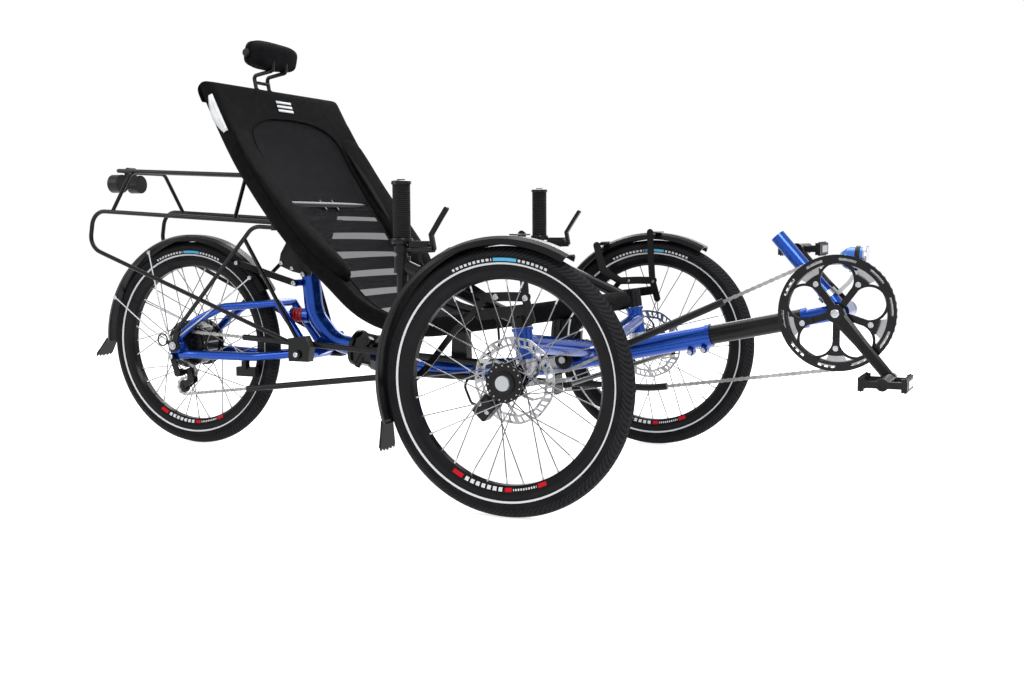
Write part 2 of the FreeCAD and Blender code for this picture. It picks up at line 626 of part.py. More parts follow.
def front_guard():
    side = RIGHT
    centre = front(0, side * size.track / 2, 0)
    named(mudguard("front_mudguard", centre, 61, 200, 0), "fender_right")
    inner = side * size.kingpin_y - 46 - size.seat_gap - 3
    hold = inner + 3
    reach = size.wheel_radius + size.fender_gap + 4
    hooks = [Vector(reach * cos(radians(a)), 0, reach * sin(radians(a))) for a in (88.3, 118.3, 190.1)]
    arms = [
        ([(26, 108), (14, 150), (10, 200), (hooks[0].x, hooks[0].z)], 15),
        ([(16, 150), (-24, 150), (-66, 148), (-108, 172), (hooks[1].x, hooks[1].z)], 17),
        ([(-66, 146), (-96, 112), (-128, 86), (-190, 12), (hooks[2].x, hooks[2].z)], 12),
    ]
    plates = []
    for n, (points, width) in enumerate(arms):
        plates.append(strip("guard_arm_%d" % n, [front(x, 0, z) for x, z in points], width, inner, hold))
    ring = size.wheel_radius + size.fender_gap + 3 + size.seat_gap
    wide = abs(-size.track / 2 - hold)
    for n, hook in enumerate(hooks):
        tab = Part.makeBox(16, wide, 2.4)
        tab.Placement = Placement(centre + hook * (ring / reach), Rotation(UP, hook))
        tab.translate(Vector(0, hold - centre.y - wide, 0))
        plates.append(shaped("guard_tab_%d" % n, tab))
    holes = [across("guard_hole_%d" % n, front(x, 0, z), inner - 2, hold + 2, "3.5")
             for n, (x, z) in enumerate(((-44, 149), (15, 148)))]
    named(cut("guard_plate_cut", fuse("guard_plate_solid", plates), holes), "fender_bracket_right")


def flap_sheet():
    """A fan shaped flap with a lobed lower edge and five ribs, standing on its narrow end."""
    side_line = [(20, 0), (27, 48), (24, 56), (18, 51), (12, 57), (6, 52)]
    outline = side_line + [(0, 58)] + [(-y, z) for y, z in reversed(side_line)]
    corners = [Vector(0, y, z) for y, z in outline]
    pieces = [Part.Face(Part.makePolygon(corners + corners[:1])).extrude(FORWARD * 3)]
    for n in (-2, -1, 0, 1, 2):
        corners = [Vector(1, n * 7.5 - 1.5, 6), Vector(1, n * 12 - 1.5, 50), Vector(1, n * 12 + 1.5, 50),
                   Vector(1, n * 7.5 + 1.5, 6)]
        pieces.append(Part.Face(Part.makePolygon(corners + corners[:1])).extrude(FORWARD * 4))
    return pieces[0].fuse(pieces[1:])


def mudguard(name, centre, start, end, flap):
    """An arched guard over a wheel, from start to end degrees above forward, with a ribbed flap.

    flap is how far the flap leans forward of straight down, in degrees.
    """
    half = size.fender_width / 2
    crown = size.wheel_radius + size.fender_gap
    rows = [(crown - 13, half), (crown - 5, half - 6), (crown, half - 16), (crown, -half + 16),
            (crown - 5, -half + 6), (crown - 13, -half), (crown - 11, -half - 0.01), (crown - 2.4, -half + 5),
            (crown + 2.6, -half + 15), (crown + 2.6, half - 15), (crown - 2.4, half - 5), (crown - 11, half + 0.01)]
    corners = [centre + Vector(r, y, 0) for r, y in rows]
    face = Part.Face(Part.makePolygon(corners + corners[:1]))
    face.rotate(centre, ACROSS, -start)
    guard = face.revolve(centre, ACROSS, start - end)
    sheet_flap = flap_sheet()
    sheet_flap.rotate(Vector(), ACROSS, -(180 + flap))
    angle = radians(end)
    hang = centre + Vector((crown + 1.2) * cos(angle), 0, (crown + 1.2) * sin(angle) + 8)
    sheet_flap.translate(hang)
    return shaped(name, guard.fuse(sheet_flap).removeSplitter())


def tie_rod():
    low, high = -27, -17 - size.seat_gap
    middle = (low + high) / 2
    ends = {name: kingpin(side, middle, size.steer_arm) for name, side in SIDES}
    solid = [rod("tie_bar", ends["right"], ends["left"], "sizes.tie_rod_radius")]
    holes = []
    for name, side in SIDES:
        solid.append(rod("tie_eye_" + name, kingpin(side, low, size.steer_arm),
                         kingpin(side, high, size.steer_arm), "9"))
        slack = "4 + sizes.shaft_gap" if side == RIGHT else "4.6"
        holes.append(rod("tie_hole_" + name, kingpin(side, low - 5, size.steer_arm),
                         kingpin(side, high + 5, size.steer_arm), slack))
    named(cut("tie_rod_cut", fuse("tie_rod_solid", solid), holes), "tie_rod")


# ---------------------------------------------------------------- drive
def crank_way(side):
    """From the spindle towards a pedal axle."""
    angle = radians(size.crank_angle)
    return Vector(cos(angle), 0, sin(angle)) * (-side)


def arm_shape():
    """The right crank arm: it tapers and leans out from the spindle to the pedal axle."""
    side = RIGHT
    way = crank_way(side)
    wide = Vector(-way.z, 0, way.x)
    wires = []
    # share of the arm, half width, half thickness, y
    for share, half, thick, y in ((0.0, 15, 7, 62), (0.45, 11, 6, 67), (1.0, 10, 6.5, 78)):
        centre = bracket + way * (size.crank_length * share)
        centre.y = side * y
        corners = [centre + wide * half * a + ACROSS * thick * b for a, b in
                   ((-1, -0.5), (-0.6, -1), (0.6, -1), (1, -0.5), (1, 0.5), (0.6, 1), (-0.6, 1), (-1, 0.5))]
        wires.append(Part.makePolygon(corners + corners[:1]))
    return Part.makeLoft(wires, True, True)


def ring_arms(radius):
    """Where the five chainring bolts are."""
    angles = [radians(54 + 72 * n) for n in range(5)]
    return [bracket + Vector(radius * cos(a), 0, radius * sin(a)) for a in angles]


def cranks():
    ring_y = size.chain_plane
    half = size.bracket_width / 2
    right_arm = arm_shape()
    for name, side in SIDES:
        arm = right_arm
        if side == LEFT:
            arm = right_arm.mirror(Vector(), ACROSS)
            arm.rotate(bracket, ACROSS, 180)
        arm = shaped("crank_arm_" + name, arm)
        way = crank_way(side)
        tip = bracket + way * size.crank_length
        solid = [arm]
        hub_ends = sorted((side * (half + size.seat_gap + 2), side * 70))
        if side == RIGHT:
            solid.append(across("spindle", bracket, -60, half + 16, "sizes.spindle_radius"))
            hub_ends = sorted((ring_y - 7, side * 70))
            solid.append(across("spindle_collar", bracket, ring_y - 7, -half - size.seat_gap, "14"))
            for n, bolt in enumerate(ring_arms(66)):
                web = strip("spider_%d" % n, [bracket, bolt], 13, ring_y - 6.5, ring_y - 1 - size.seat_gap)
                solid.append(web)
        else:
            hub_ends = [half + 2, 70]
        boss = across("crank_boss_" + name, bracket, hub_ends[0], hub_ends[1], "17")
        if side == LEFT:
            bore = across("left_spindle_hole", bracket, 0, half + 16 + size.seat_gap, "sizes.spindle_radius + 0.05")
            boss = cut("left_boss_bored", boss, [bore])
        solid.append(boss)
        eye = across("crank_eye_" + name, tip, *sorted((side * 70, side * 86)), "12")
        axle = across("pedal_axle_" + name, tip, *sorted((side * 80, side * 178)), "6")
        inner = fuse("crank_inner_" + name, solid)
        outer = fuse("crank_outer_" + name, [eye, axle])
        named(fuse("crank_solid_" + name, [inner, outer]), "crank_" + name)
        centre = bracket + way * size.crank_length
        centre.y = side * 138
        named(pedal("pedal_" + name, centre, side), "pedal_" + name)


def pedal(name, centre, side):
    """A cage pedal: two toothed rails, two end plates and the axle barrel."""
    length, width, height = 84, 84, 24
    block = Part.makeBox(length, width, height, Vector(-length / 2, -width / 2, -height / 2))
    windows = []
    for ahead in (-1, 1):
        windows.append(Part.makeBox(24, width - 16, 40, Vector(ahead * 25 - 12, -width / 2 + 8, -20)))
        for n in range(5):
            at = -width / 2 + 12 + n * (width - 24) / 4
            notch = Part.makeCylinder(5, 20, Vector(ahead * length / 2 - 10, at, height / 2 + 1), FORWARD)
            windows.append(notch)
            windows.append(notch.translated(Vector(0, 0, -height - 2)))
    body = block.cut(windows)
    for top in (-1, 1):
        waist = Part.makeBox(length - 20, width + 2, 7, Vector(-length / 2 + 10, -width / 2 - 1, top * 9.6 - 3.5))
        body = body.cut(waist)
    body = body.fuse(Part.makeCylinder(11, width, Vector(0, -width / 2, 0), ACROSS))
    hole = Part.makeCylinder(6 + size.shaft_gap, width + 2, Vector(0, -width / 2 - 1, 0), ACROSS)
    body = body.cut(hole)
    body.translate(centre)
    return shaped(name + "_cage", body)


def rings():
    plane = size.chain_plane
    bolts = ring_arms(66)
    gear = toothed(size.ring_teeth, 90)
    gear.translate(bracket - ACROSS * (bracket.y + 1 - plane))
    lobes = []
    for bolt in bolts:
        outward = (bolt - bracket).normalize()
        root = bracket + outward * 94
        way = outward * 28
        aside = Vector(-outward.z, 0, outward.x)
        corners = [root + aside * 22, root - aside * 22, root - way - aside * 8, root - way + aside * 8]
        lobes.append([Vector(p.x, 0, p.z) for p in corners])
    ring = gear.fuse([Part.Face(Part.makePolygon(c + c[:1])).extrude(ACROSS * 2).translated(ACROSS * (plane - 1))
                      for c in lobes])
    named(shaped("chainring_gear", ring.removeSplitter()), "chainring")
    outer = plane - 6.5 - size.seat_gap
    base = bracket + ACROSS * (outer - 4)
    disc = Part.makeCylinder(109, 2.4, bracket + ACROSS * (outer - 2.4), ACROSS)
    windows = []
    rims = []
    for n in range(5):
        angle = radians(18 + 72 * n)
        at = base + Vector(62 * cos(angle), 0, 62 * sin(angle))
        windows.append(Part.makeCylinder(30.5, 6, at, ACROSS))
        rims.append(Part.makeCylinder(35.5, 6, at, ACROSS))
    gap_ring = Part.makeCylinder(92.6, 6, base, ACROSS).cut([Part.makeCylinder(80, 6, base, ACROSS)] + rims)
    slots = []
    for n in range(10):
        slot = Part.makeCylinder(103, 6, base, ACROSS, 20)
        slot = slot.cut(Part.makeCylinder(97.7, 6, base, ACROSS))
        slot.rotate(bracket, ACROSS, 36 * n)
        slots.append(slot)
    centre = Part.makeCylinder(45, 6, base, ACROSS)
    disc = disc.cut(windows + [gap_ring, centre] + slots)
    named(shaped("guard_disc", disc.removeSplitter()), "chain_guard")


def belt(circles, offset):
    """The closed line round a row of wheels: (x, z, radius, turn), turn +1 counter-clockwise."""
    count = len(circles)
    tangents = []
    for n in range(count):
        x1, z1, r1, t1 = circles[n]
        x2, z2, r2, t2 = circles[(n + 1) % count]
        r1, r2 = t1 * (r1 + t1 * offset), t2 * (r2 + t2 * offset)
        span = hypot(x2 - x1, z2 - z1)
        heading = atan2(z2 - z1, x2 - x1) - asin((r2 - r1) / span)
        right = Vector(sin(heading), 0, -cos(heading))
        tangents.append((Vector(x1, 0, z1) + right * r1, Vector(x2, 0, z2) + right * r2))
    edges = []
    for n in range(count):
        start, end = tangents[n]
        edges.append(Part.LineSegment(start, end).toShape())
        following = tangents[(n + 1) % count][0]
        x, z, radius, turn = circles[(n + 1) % count]
        first = atan2(end.z - z, end.x - x)
        last = atan2(following.z - z, following.x - x)
        swing = (last - first) * turn % (2 * pi)
        half = first + turn * swing / 2
        reach = radius + turn * offset
        middle = Vector(x + reach * cos(half), 0, z + reach * sin(half))
        edges.append(Part.Arc(end, middle, following).toShape())
    return Part.Wire(edges), tangents


def chain():
    plane = size.chain_plane
    ring_pitch = size.chain_pitch / (2 * sin(pi / size.ring_teeth))
    gear_pitch = size.chain_pitch / (2 * sin(pi / size.sprocket_teeth))
    axle = rear(0, 0, 0)
    idler = front(-40, 0, 3)
    hump = rear(655, 0, -292)
    sag = front(130, 0, 204)
    upper_jockey = rear(22, 0, -62)
    lower_jockey = rear(2, 0, -100)
    idler_r, upper_r, lower_r = 24, 13, 19
    line = [(bracket.x, bracket.z, ring_pitch, 1), (idler.x, idler.z, idler_r, -1), (axle.x, axle.z, gear_pitch, 1),
            (upper_jockey.x, upper_jockey.z, upper_r, -1), (lower_jockey.x, lower_jockey.z, lower_r, 1),
            (hump.x, hump.z, RETURN_BEND, -1), (sag.x, sag.z, RETURN_BEND, 1)]
    half = size.chain_height / 2
    outer, tangents = belt(line, half)
    inner, tangents = belt(line, -half)
    middle, tangents = belt(line, 0.0)
    band = Part.makeFace([outer, inner], "Part::FaceMakerBullseye")
    links = []
    gap = size.plate_gap / 2
    for low in (plane - gap - size.plate_thick, plane + gap):
        links.append(band.extrude(ACROSS * size.plate_thick).translated(ACROSS * low))
    pins = []
    reach = gap + size.plate_thick
    for n in (0, 1, 4, 5, 6):
        start, end = tangents[n]
        way = end - start
        for share in (0.12, 0.88):
            at = start + way * share + ACROSS * (plane - reach)
            pins.append(Part.makeCylinder(1.8, reach * 2, at, ACROSS))
    named(shaped("chain_links", links[0].fuse(links[1:] + pins)), "chain")
    # wheels that guide the chain, and their plates
    wheels = []
    for n, (centre, radius) in enumerate(((idler, idler_r), (upper_jockey, upper_r), (lower_jockey, lower_r))):
        body = Part.makeCylinder(radius - half - size.seat_gap, 2.6, centre + ACROSS * (plane - 1.3), ACROSS)
        body = body.fuse(Part.makeCylinder(8, 11, centre + ACROSS * (plane - 5.5), ACROSS))
        wheels.append(body.cut(Part.makeCylinder(4 + size.shaft_gap, 20, centre + ACROSS * (plane - 10), ACROSS)))
    named(group("guide_wheel_set", [shaped("guide_wheel_%d" % n, wheel) for n, wheel in enumerate(wheels)]),
          "guide_wheels")
    hang = front(-72, 0, -8)
    solid = [across("idler_bolt", idler, plane - 8, -33, "4")]
    solid.append(across("idler_head", idler, plane - 12, plane - 5.8, "7"))
    solid.append(strip("idler_plate", [idler, hang], 22, -40.6, -35))
    solid.append(across("idler_stem", hang, -40, -size.main_radius + 3, "7"))
    bore = tube("idler_clearance", [main_front - slope * 386, main_front], 300, "sizes.main_radius + sizes.seat_gap")
    named(cut("idler_bracket_cut", fuse("idler_bracket_solid", solid), [bore]), "idler_bracket")
    tensioner(upper_jockey, lower_jockey)
    chain_tubes(tangents)


def tensioner(upper, lower):
    plane = size.chain_plane
    mount = rear(-14, 0, -27)
    elbow = rear(0, 0, -66)
    solid = [strip("tension_arm", [mount, elbow], 15, -74, -70), across("tension_mount", mount, -78, -66.4, "8")]
    solid.append(across("tension_elbow", elbow, -74, plane - 8, "9"))
    for name, low in (("near", plane - 10), ("far", plane + 6)):
        cage = strip("cage_" + name, [upper, rear(26, 0, -84), lower], 15, low, low + 3)
        solid.append(cage)
    solid.append(strip("cage_link", [upper, elbow], 12, plane - 11, plane - 8))
    for name, centre in (("upper", upper), ("lower", lower)):
        solid.append(across("cage_bolt_" + name, centre, plane - 12, plane + 10, "4"))
    named(fuse("tensioner_solid", solid), "chain_tensioner")


def at_x(line, x):
    """The point of a straight run at x, in the plane of the chain."""
    start, end = line
    return start + (end - start) * ((x - start.x) / (end.x - start.x)) + ACROSS * size.chain_plane


def meeting(first, second):
    """Where the lines of two runs cross, in the plane of the chain."""
    slopes = [(end.z - start.z) / (end.x - start.x) for start, end in (first, second)]
    lift = second[0].z - first[0].z + slopes[1] * (first[0].x - second[0].x)
    return at_x(first, first[0].x + lift / (slopes[0] - slopes[1]))


def chain_tubes(tangents):
    """Plastic tubes round the long runs: two straight ones, and one that bends with the return run."""
    ends = [(0, front(294, 0, 0).x, front(44, 0, 0).x), (1, front(-90, 0, 0).x, rear(177, 0, 0).x)]
    tubes = []
    for n, (run, x_from, x_to) in enumerate(ends):
        low = at_x(tangents[run], x_from)
        along = at_x(tangents[run], x_to) - low
        sleeve = Part.makeCylinder(7, along.Length, low, along)
        tubes.append(shaped("chain_tube_%d" % n, sleeve.cut(Part.makeCylinder(5.75, along.Length, low, along))))
    back, level, ahead = tangents[4:7]
    line = [at_x(back, rear(184, 0, 0).x), meeting(back, level), meeting(level, ahead),
            at_x(ahead, front(181, 0, 0).x)]
    skin = tube("return_tube_skin", line, RETURN_BEND, "7")
    hollow = tube("return_tube_hollow", line, RETURN_BEND, "5.75")
    tubes.append(cut("return_tube", skin, [hollow]))
    named(group("chain_tube_set", tubes), "chain_tubes")


# ---------------------------------------------------------------- seat
# the seat from its top to its front edge: x ahead of the rear axle and z above it
SEAT_LINE = [(252, 578), (338, 414), (480, 227), (590, 102), (700, 79), (1035, 129)]
SEAT_BENDS = [300, 60, 60, 60]
# how far the cover's edge lies inside its widest place, by x ahead of the rear axle
SEAT_EDGE = [(200, 12), (338, 0), (430, 6), (480, 20), (520, 44), (600, 69), (1100, 97)]
# the same for the seat rails at each corner of the line
RAIL_INSET = (30, 22, 56, 91, 97, 113)


def seat_profile(distance):
    """The seat's line seen from the side, moved up and forward by distance."""
    points = [Vector(x, 0, z) for x, z in SEAT_LINE]
    moved = []
    for n, point in enumerate(points):
        ways = []
        if n > 0:
            ways.append((point - points[n - 1]).normalize())
        if n < len(points) - 1:
            ways.append((points[n + 1] - point).normalize())
        normals = [Vector(-w.z, 0, w.x) for w in ways]
        total = normals[0] + normals[-1]
        moved.append(point + total * (distance / (1 + normals[0].dot(normals[-1]))))
    return [rear(p.x, 0, p.z) for p in moved]


def seat_path(points, distance):
    """The rounded line through the seat's corners, once they are moved by distance."""
    return bent_path(points, [bend - distance for bend in SEAT_BENDS])


def seat():
    half = size.cover_thick / 2
    upper = seat_path(seat_profile(half), half)
    lower = seat_path(seat_profile(-half), -half)
    ends = [Part.makeLine(upper.Vertexes[-1].Point, lower.Vertexes[-1].Point),
            Part.makeLine(upper.Vertexes[0].Point, lower.Vertexes[0].Point)]
    face = Part.Face(Part.Wire(Part.__sortEdges__(upper.Edges + lower.Edges + ends)))
    wide = size.seat_half_width
    slab = face.extrude(ACROSS * (2 * wide + 4)).translated(ACROSS * (-wide - 2))
    trims = []
    for side in (RIGHT, LEFT):
        corners = [Vector(rear(x, 0, 0).x, side * (wide - inset), 0) for x, inset in SEAT_EDGE]
        corners += [Vector(corners[-1].x, side * (wide + 5), 0), Vector(corners[0].x, side * (wide + 5), 0)]
        trims.append(Part.Face(Part.makePolygon(corners + corners[:1])).extrude(UP * 900))
    named(shaped("seat_cover_slab", slab.cut(trims)), "seat_cover")
    drop = -(half + size.rail_radius + size.seat_gap)
    rail_line = seat_profile(drop)
    rails = []
    for name, side in SIDES:
        points = [Vector(p.x, side * (wide - far), p.z) for p, far in zip(rail_line, RAIL_INSET)]
        rails.append(tube("seat_rail_" + name, points, [bend - drop for bend in SEAT_BENDS], "sizes.rail_radius"))
    bars = [("top", rail_line[0], wide - RAIL_INSET[0]), ("front", rail_line[-1], wide - RAIL_INSET[-1])]
    for tag, at, reach in bars:
        rails.append(across("seat_bar_" + tag, at, -reach, reach, "sizes.rail_radius - 1"))
        for name, side in SIDES:
            corner = Vector(at.x, side * reach, at.z)
            rails.append(primitive("Sphere", "seat_corner_%s_%s" % (tag, name), {"Radius": "sizes.rail_radius"}, corner))
    base_bar = base_bar_at()
    rails.append(across("seat_bar_back", back_bar_at(), -(wide - 36), wide - 36, "9"))
    rails.append(across("seat_bar_base", base_bar, -(wide - 98), wide - 98, "9"))
    rails.append(plate("seat_post", [base_bar + Vector(-16, 0, -4), base_bar + Vector(16, 0, -4),
                                     base_bar + Vector(20, 0, -92), base_bar + Vector(-20, 0, -92)], -13, 13))
    low_bend = hinge + hinge_slope * 209
    clear = tube("seat_post_saddle", [hinge, low_bend, main_front - slope * 386, main_front], 300,
                 "sizes.main_radius + sizes.seat_gap")
    named(cut("seat_frame_cut", fuse("seat_frame_solid", rails), [clear]), "seat_frame")


def rail_point(share, run):
    """A point on the seat rails' line: share of the way along one of its straight runs."""
    line = seat_profile(-(size.cover_thick / 2 + size.rail_radius + size.seat_gap))
    return line[run] + (line[run + 1] - line[run]) * share


def back_bar_at():
    return rail_point(0.42, 1)


def base_bar_at():
    return rail_point(0.06, 4)


def seat_stay():
    bar = back_bar_at()
    outline = [rear(263, 0, 190), rear(300, 0, 176), rear(349, 0, 166), bar + Vector(13, 0, -8),
               bar + Vector(-6, 0, 13), rear(316, 0, 303), rear(280, 0, 280), rear(291, 0, 252), rear(269, 0, 217)]
    plates = []
    for name, side in SIDES:
        cheeks = sorted((side * (size.riser_radius + 1.5 + size.seat_gap), side * (size.riser_radius + 5.5)))
        plates.append(plate("stay_plate_" + name, outline, cheeks[0], cheeks[1]))
    plates.append(across("stay_bolt", rear(331, 0, 170), -30, 30, "4"))
    plates.append(across("stay_spacer", rear(345, 0, 215), -size.riser_radius - 4, size.riser_radius + 4, "6"))
    holes = [across("stay_bar_hole", bar, -60, 60, "9 + sizes.seat_gap"),
             across("stay_rack_hole", rear(330, 0, 287), -60, 60, "sizes.rack_radius")]
    named(cut("seat_stay_cut", fuse("seat_stay_solid", plates), holes), "seat_stay")


def headrest():
    top = rail_point(0.0, 0)
    pad = primitive("Box", "pad_block", {"Length": "68", "Width": "160", "Height": "62"},
                    Vector(-34, -80, -31), Rotation())
    rounded = doc.addObject("Part::Fillet", "pad_rounded")
    rounded.Base = pad
    doc.recompute()
    rounded.Edges = [(n + 1, 20.0, 20.0) for n in range(len(pad.Shape.Edges))]
    rounded.Placement = Placement(rear(234, 0, 666), Rotation(ACROSS, 12))
    rods = []
    sockets = []
    for name, side in SIDES:
        y = side * 25
        line = [top + Vector(-3, y, 7), rear(211, y, 592), rear(205, y, 622), rear(258, y, 631), rear(258, y, 652)]
        rods.append(tube("headrest_rod_" + name, line, 8, "4.5"))
        room = line[:-1] + [line[-1] + UP * size.seat_gap]
        sockets.append(tube("pad_socket_" + name, room, 8, "4.5 + sizes.seat_gap"))
    named(cut("headrest_pad_cut", rounded, sockets), "headrest_pad")
    rods.append(across("headrest_tie", rear(208, 0, 607), -25, 25, "4"))
    clear = across("headrest_clear", top, -60, 60, "sizes.rail_radius - 1 + sizes.seat_gap")
    named(cut("headrest_stay_cut", fuse("headrest_stay_solid", rods), [clear]), "headrest_stay")


# ---------------------------------------------------------------- luggage rack, guards and lamps
DECK_FRONT = 282
DECK_BACK = -186
DECK_Y = 55


def deck(x, y=0.0):
    """A point of the rack's deck, which falls a little towards the front: x ahead of the rear axle."""
    return rear(x, y, 405.7 - x * 0.0486)


def rack():
    thick, thin = "sizes.rack_radius", "sizes.rack_radius - 0.5"
    low_y, foot_y = 127, 73
    rail_line = [deck(DECK_FRONT, -DECK_Y), deck(DECK_BACK, -DECK_Y), deck(DECK_BACK, DECK_Y), deck(DECK_FRONT, DECK_Y)]
    solid = [tube("rack_deck", rail_line, 20, thick)]
    solid.append(across("rack_deck_bar", deck(262), -DECK_Y, DECK_Y, thin))
    for n, (x, foot_x, foot_z) in enumerate(((-133, -133, 314.7), (202, 218, 293.7))):
        top = deck(x) - UP * 4
        arch = [rear(foot_x, -low_y, foot_z), top - ACROSS * 60, top + ACROSS * 60, rear(foot_x, low_y, foot_z)]
        solid.append(tube("rack_arch_%d" % n, arch, 22, thin))
    for name, side in SIDES:
        # lower rail, hoop and stay in one tube
        hoop = [rear(336, side * low_y, 286.7), rear(-190, side * low_y, 318), rear(-205, side * low_y, 232),
                rear(332, side * foot_y, 14)]
        solid.append(tube("rack_hoop_" + name, hoop, 38, thick))
        strut = [rear(328, side * low_y, 276), rear(268, side * low_y, 279.5), rear(10, side * 84, 36)]
        solid.append(tube("rack_strut_" + name, strut, 45, "sizes.rack_radius - 0.2"))
        fork = strut[1] + (strut[2] - strut[1]) * 0.11
        solid.append(rod("rack_leg_" + name, fork, rear(345, side * foot_y, 20), thin))
        lug = sorted((side * (low_y - 3), side * (low_y + 3)))
        lug_line = [rear(318, 0, 270), rear(338, 0, 270), rear(338, 0, 294), rear(318, 0, 294)]
        solid.append(plate("rack_lug_" + name, lug_line, *lug))
        eye = sorted((side * 79.5, side * 84.5))
        solid.append(across("rack_tab_" + name, rear(0, 0, 0), *eye, "15"))
        solid.append(strip("rack_tab_arm_" + name, [rear(0, 0, 0), rear(13, 0, 39)], 14, *eye))
        solid.append(strip("rack_eyelet_arm_" + name, [rear(-8, 0, 3), rear(-19, 0, 7.5)], 8, *eye))
        solid.append(primitive("Torus", "rack_eyelet_" + name, {"Radius1": "13.7", "Radius2": "1.8"},
                               rear(-33, side * 82, 13), Rotation(UP, ACROSS)))
        block = sorted((side * 58, side * 80))
        outline = [(322, -24), (322, 28), (366, 34), (380, 10), (374, -24)]
        solid.append(plate("rack_block_" + name, [rear(x, 0, z) for x, z in outline], *block))
    solid.append(across("rack_front_bar", rear(330, 0, 287), -low_y, low_y, "sizes.rack_radius - 0.4"))
    holes = [across("rack_pivot_hole", pivot, -90, 90, "8 + sizes.seat_gap")]
    holes.append(across("rack_axle_hole", rear(0, 0, 0), -90, 90, "10 + sizes.seat_gap"))
    named(cut("rack_cut", fuse("rack_solid", solid), holes), "rack")


def rear_light():
    centre = rear(-196, 0, 384)
    discs = []
    for name, side in SIDES:
        at = centre + ACROSS * (side * 33)
        discs.append(rod("lamp_disc_" + name, at - FORWARD * 16, at + FORWARD * 12, "22"))
    discs.append(primitive("Box", "lamp_waist", {"Length": "22", "Width": "66", "Height": "26"},
                           centre + Vector(-10, -33, -13), Rotation()))
    discs.append(strip("lamp_hanger", [deck(DECK_BACK), rear(-190, 0, 388)], 18, -12, 12))
    clear = across("lamp_rack_clear", deck(DECK_BACK), -60, 60, "sizes.rack_radius + sizes.seat_gap")
    named(cut("rear_light_cut", fuse("rear_light_solid", discs), [clear]), "rear_light")


def rear_guard():
    centre = rear(0, 0, 0)
    guard = mudguard("rear_mudguard", centre, 31, 181, -35)
    # the link that holds the guard off the riser
    reach = size.wheel_radius + size.fender_gap - 11
    hold = centre + Vector(reach * cos(radians(52)), 0, reach * sin(radians(52)))
    link = [strip("link_bar", [LINK_FOOT, hold], 15, -34.3, -30.5)]
    link.append(across("link_bolt", LINK_FOOT, -38, -34, "5"))
    link.append(across("link_screw", hold, -37, -27, "4"))
    named(fuse("rear_guard_solid", [guard] + link), "fender_rear")
    crown = size.wheel_radius + size.fender_gap - 14
    wires = []
    edge = size.fender_width / 2 + 3
    for name, side in SIDES:
        for n, angle in enumerate((41, 117, 154)):
            turn = radians(angle)
            out = Vector(cos(turn), 0, sin(turn))
            clip = centre + out * crown + ACROSS * (side * edge)
            foot = rear(-14, side * 76.2, 6)
            elbow = centre + out * 90 + ACROSS * (side * 76.2)
            wires.append(tube("stay_wire_%s_%d" % (name, n), [foot, elbow, clip], 20, "1.8"))
            wires.append(rod("stay_clip_%s_%d" % (name, n), clip + Vector(0, side * 2, 0),
                             clip - Vector(0, side * (3 - size.seat_gap), 0), "5"))
        foot_ends = sorted((side * (size.dropout_y + 3 + size.seat_gap), side * 77))
        wires.append(across("stay_foot_" + name, rear(-14, 0, 6), foot_ends[0], foot_ends[1], "4.2"))
    halves = []
    for name, side in SIDES:
        count = len(wires) // 2
        chosen = wires[:count] if side == RIGHT else wires[count:]
        halves.append(fuse("stay_set_" + name, chosen))
    named(group("stay_pair", halves), "fender_stays")


def shift_box():
    box = primitive("Box", "shift_body", {"Length": "54", "Width": "16", "Height": "22"},
                    rear(146, -40, -70), Rotation())
    clip = primitive("Box", "shift_clip", {"Length": "12", "Width": "16", "Height": "18.7"},
                     rear(166, -46, -52), Rotation())
    named(fuse("shift_box_solid", [box, clip]), "shift_box")


front_frame()
rear_frame()
frame_clamp()
boom()
bottom_bracket()
headlight()
swingarm()
rear_axle()
for label, centre in (("right", front(0, -size.track / 2, 0)), ("left", front(0, size.track / 2, 0)),
                      ("rear", rear(0, 0, 0))):
    tyre("tyre_" + label, centre)
    rim("rim_" + label, centre)
front_hub()
rear_hub()
rotor()
knuckle()
brake(handlebar())
front_guard()
for label in ("knuckle", "handlebar", "grip", "brake_lever", "brake_caliper", "brake_hose", "fender", "fender_bracket"):
    named(mirrored(label + "_copy", parts[label + "_right"]), label + "_left")
tie_rod()
cranks()
rings()
chain()
seat()
seat_stay()
headrest()
rack()
rear_light()
rear_guard()
shift_box()

# ---------------------------------------------------------------- checks and files
doc.recompute()
faults = [item.Name for item in doc.Objects if "Invalid" in item.State or "Error" in item.State]
if faults:
    raise RuntimeError("objects that failed: " + ", ".join(faults))
for label, piece in parts.items():
    if piece.Shape.isNull() or not piece.Shape.isValid():
        raise RuntimeError("sub-part without a valid shape: " + label)

os.makedirs("parts", exist_ok=True)
for label, piece in parts.items():
    piece.Shape.exportStep("parts/%s.step" % label)
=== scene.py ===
import json
from math import asin, atan2, cos, hypot, pi, radians, sin

import bpy
import bmesh
from mathutils import Matrix, Vector


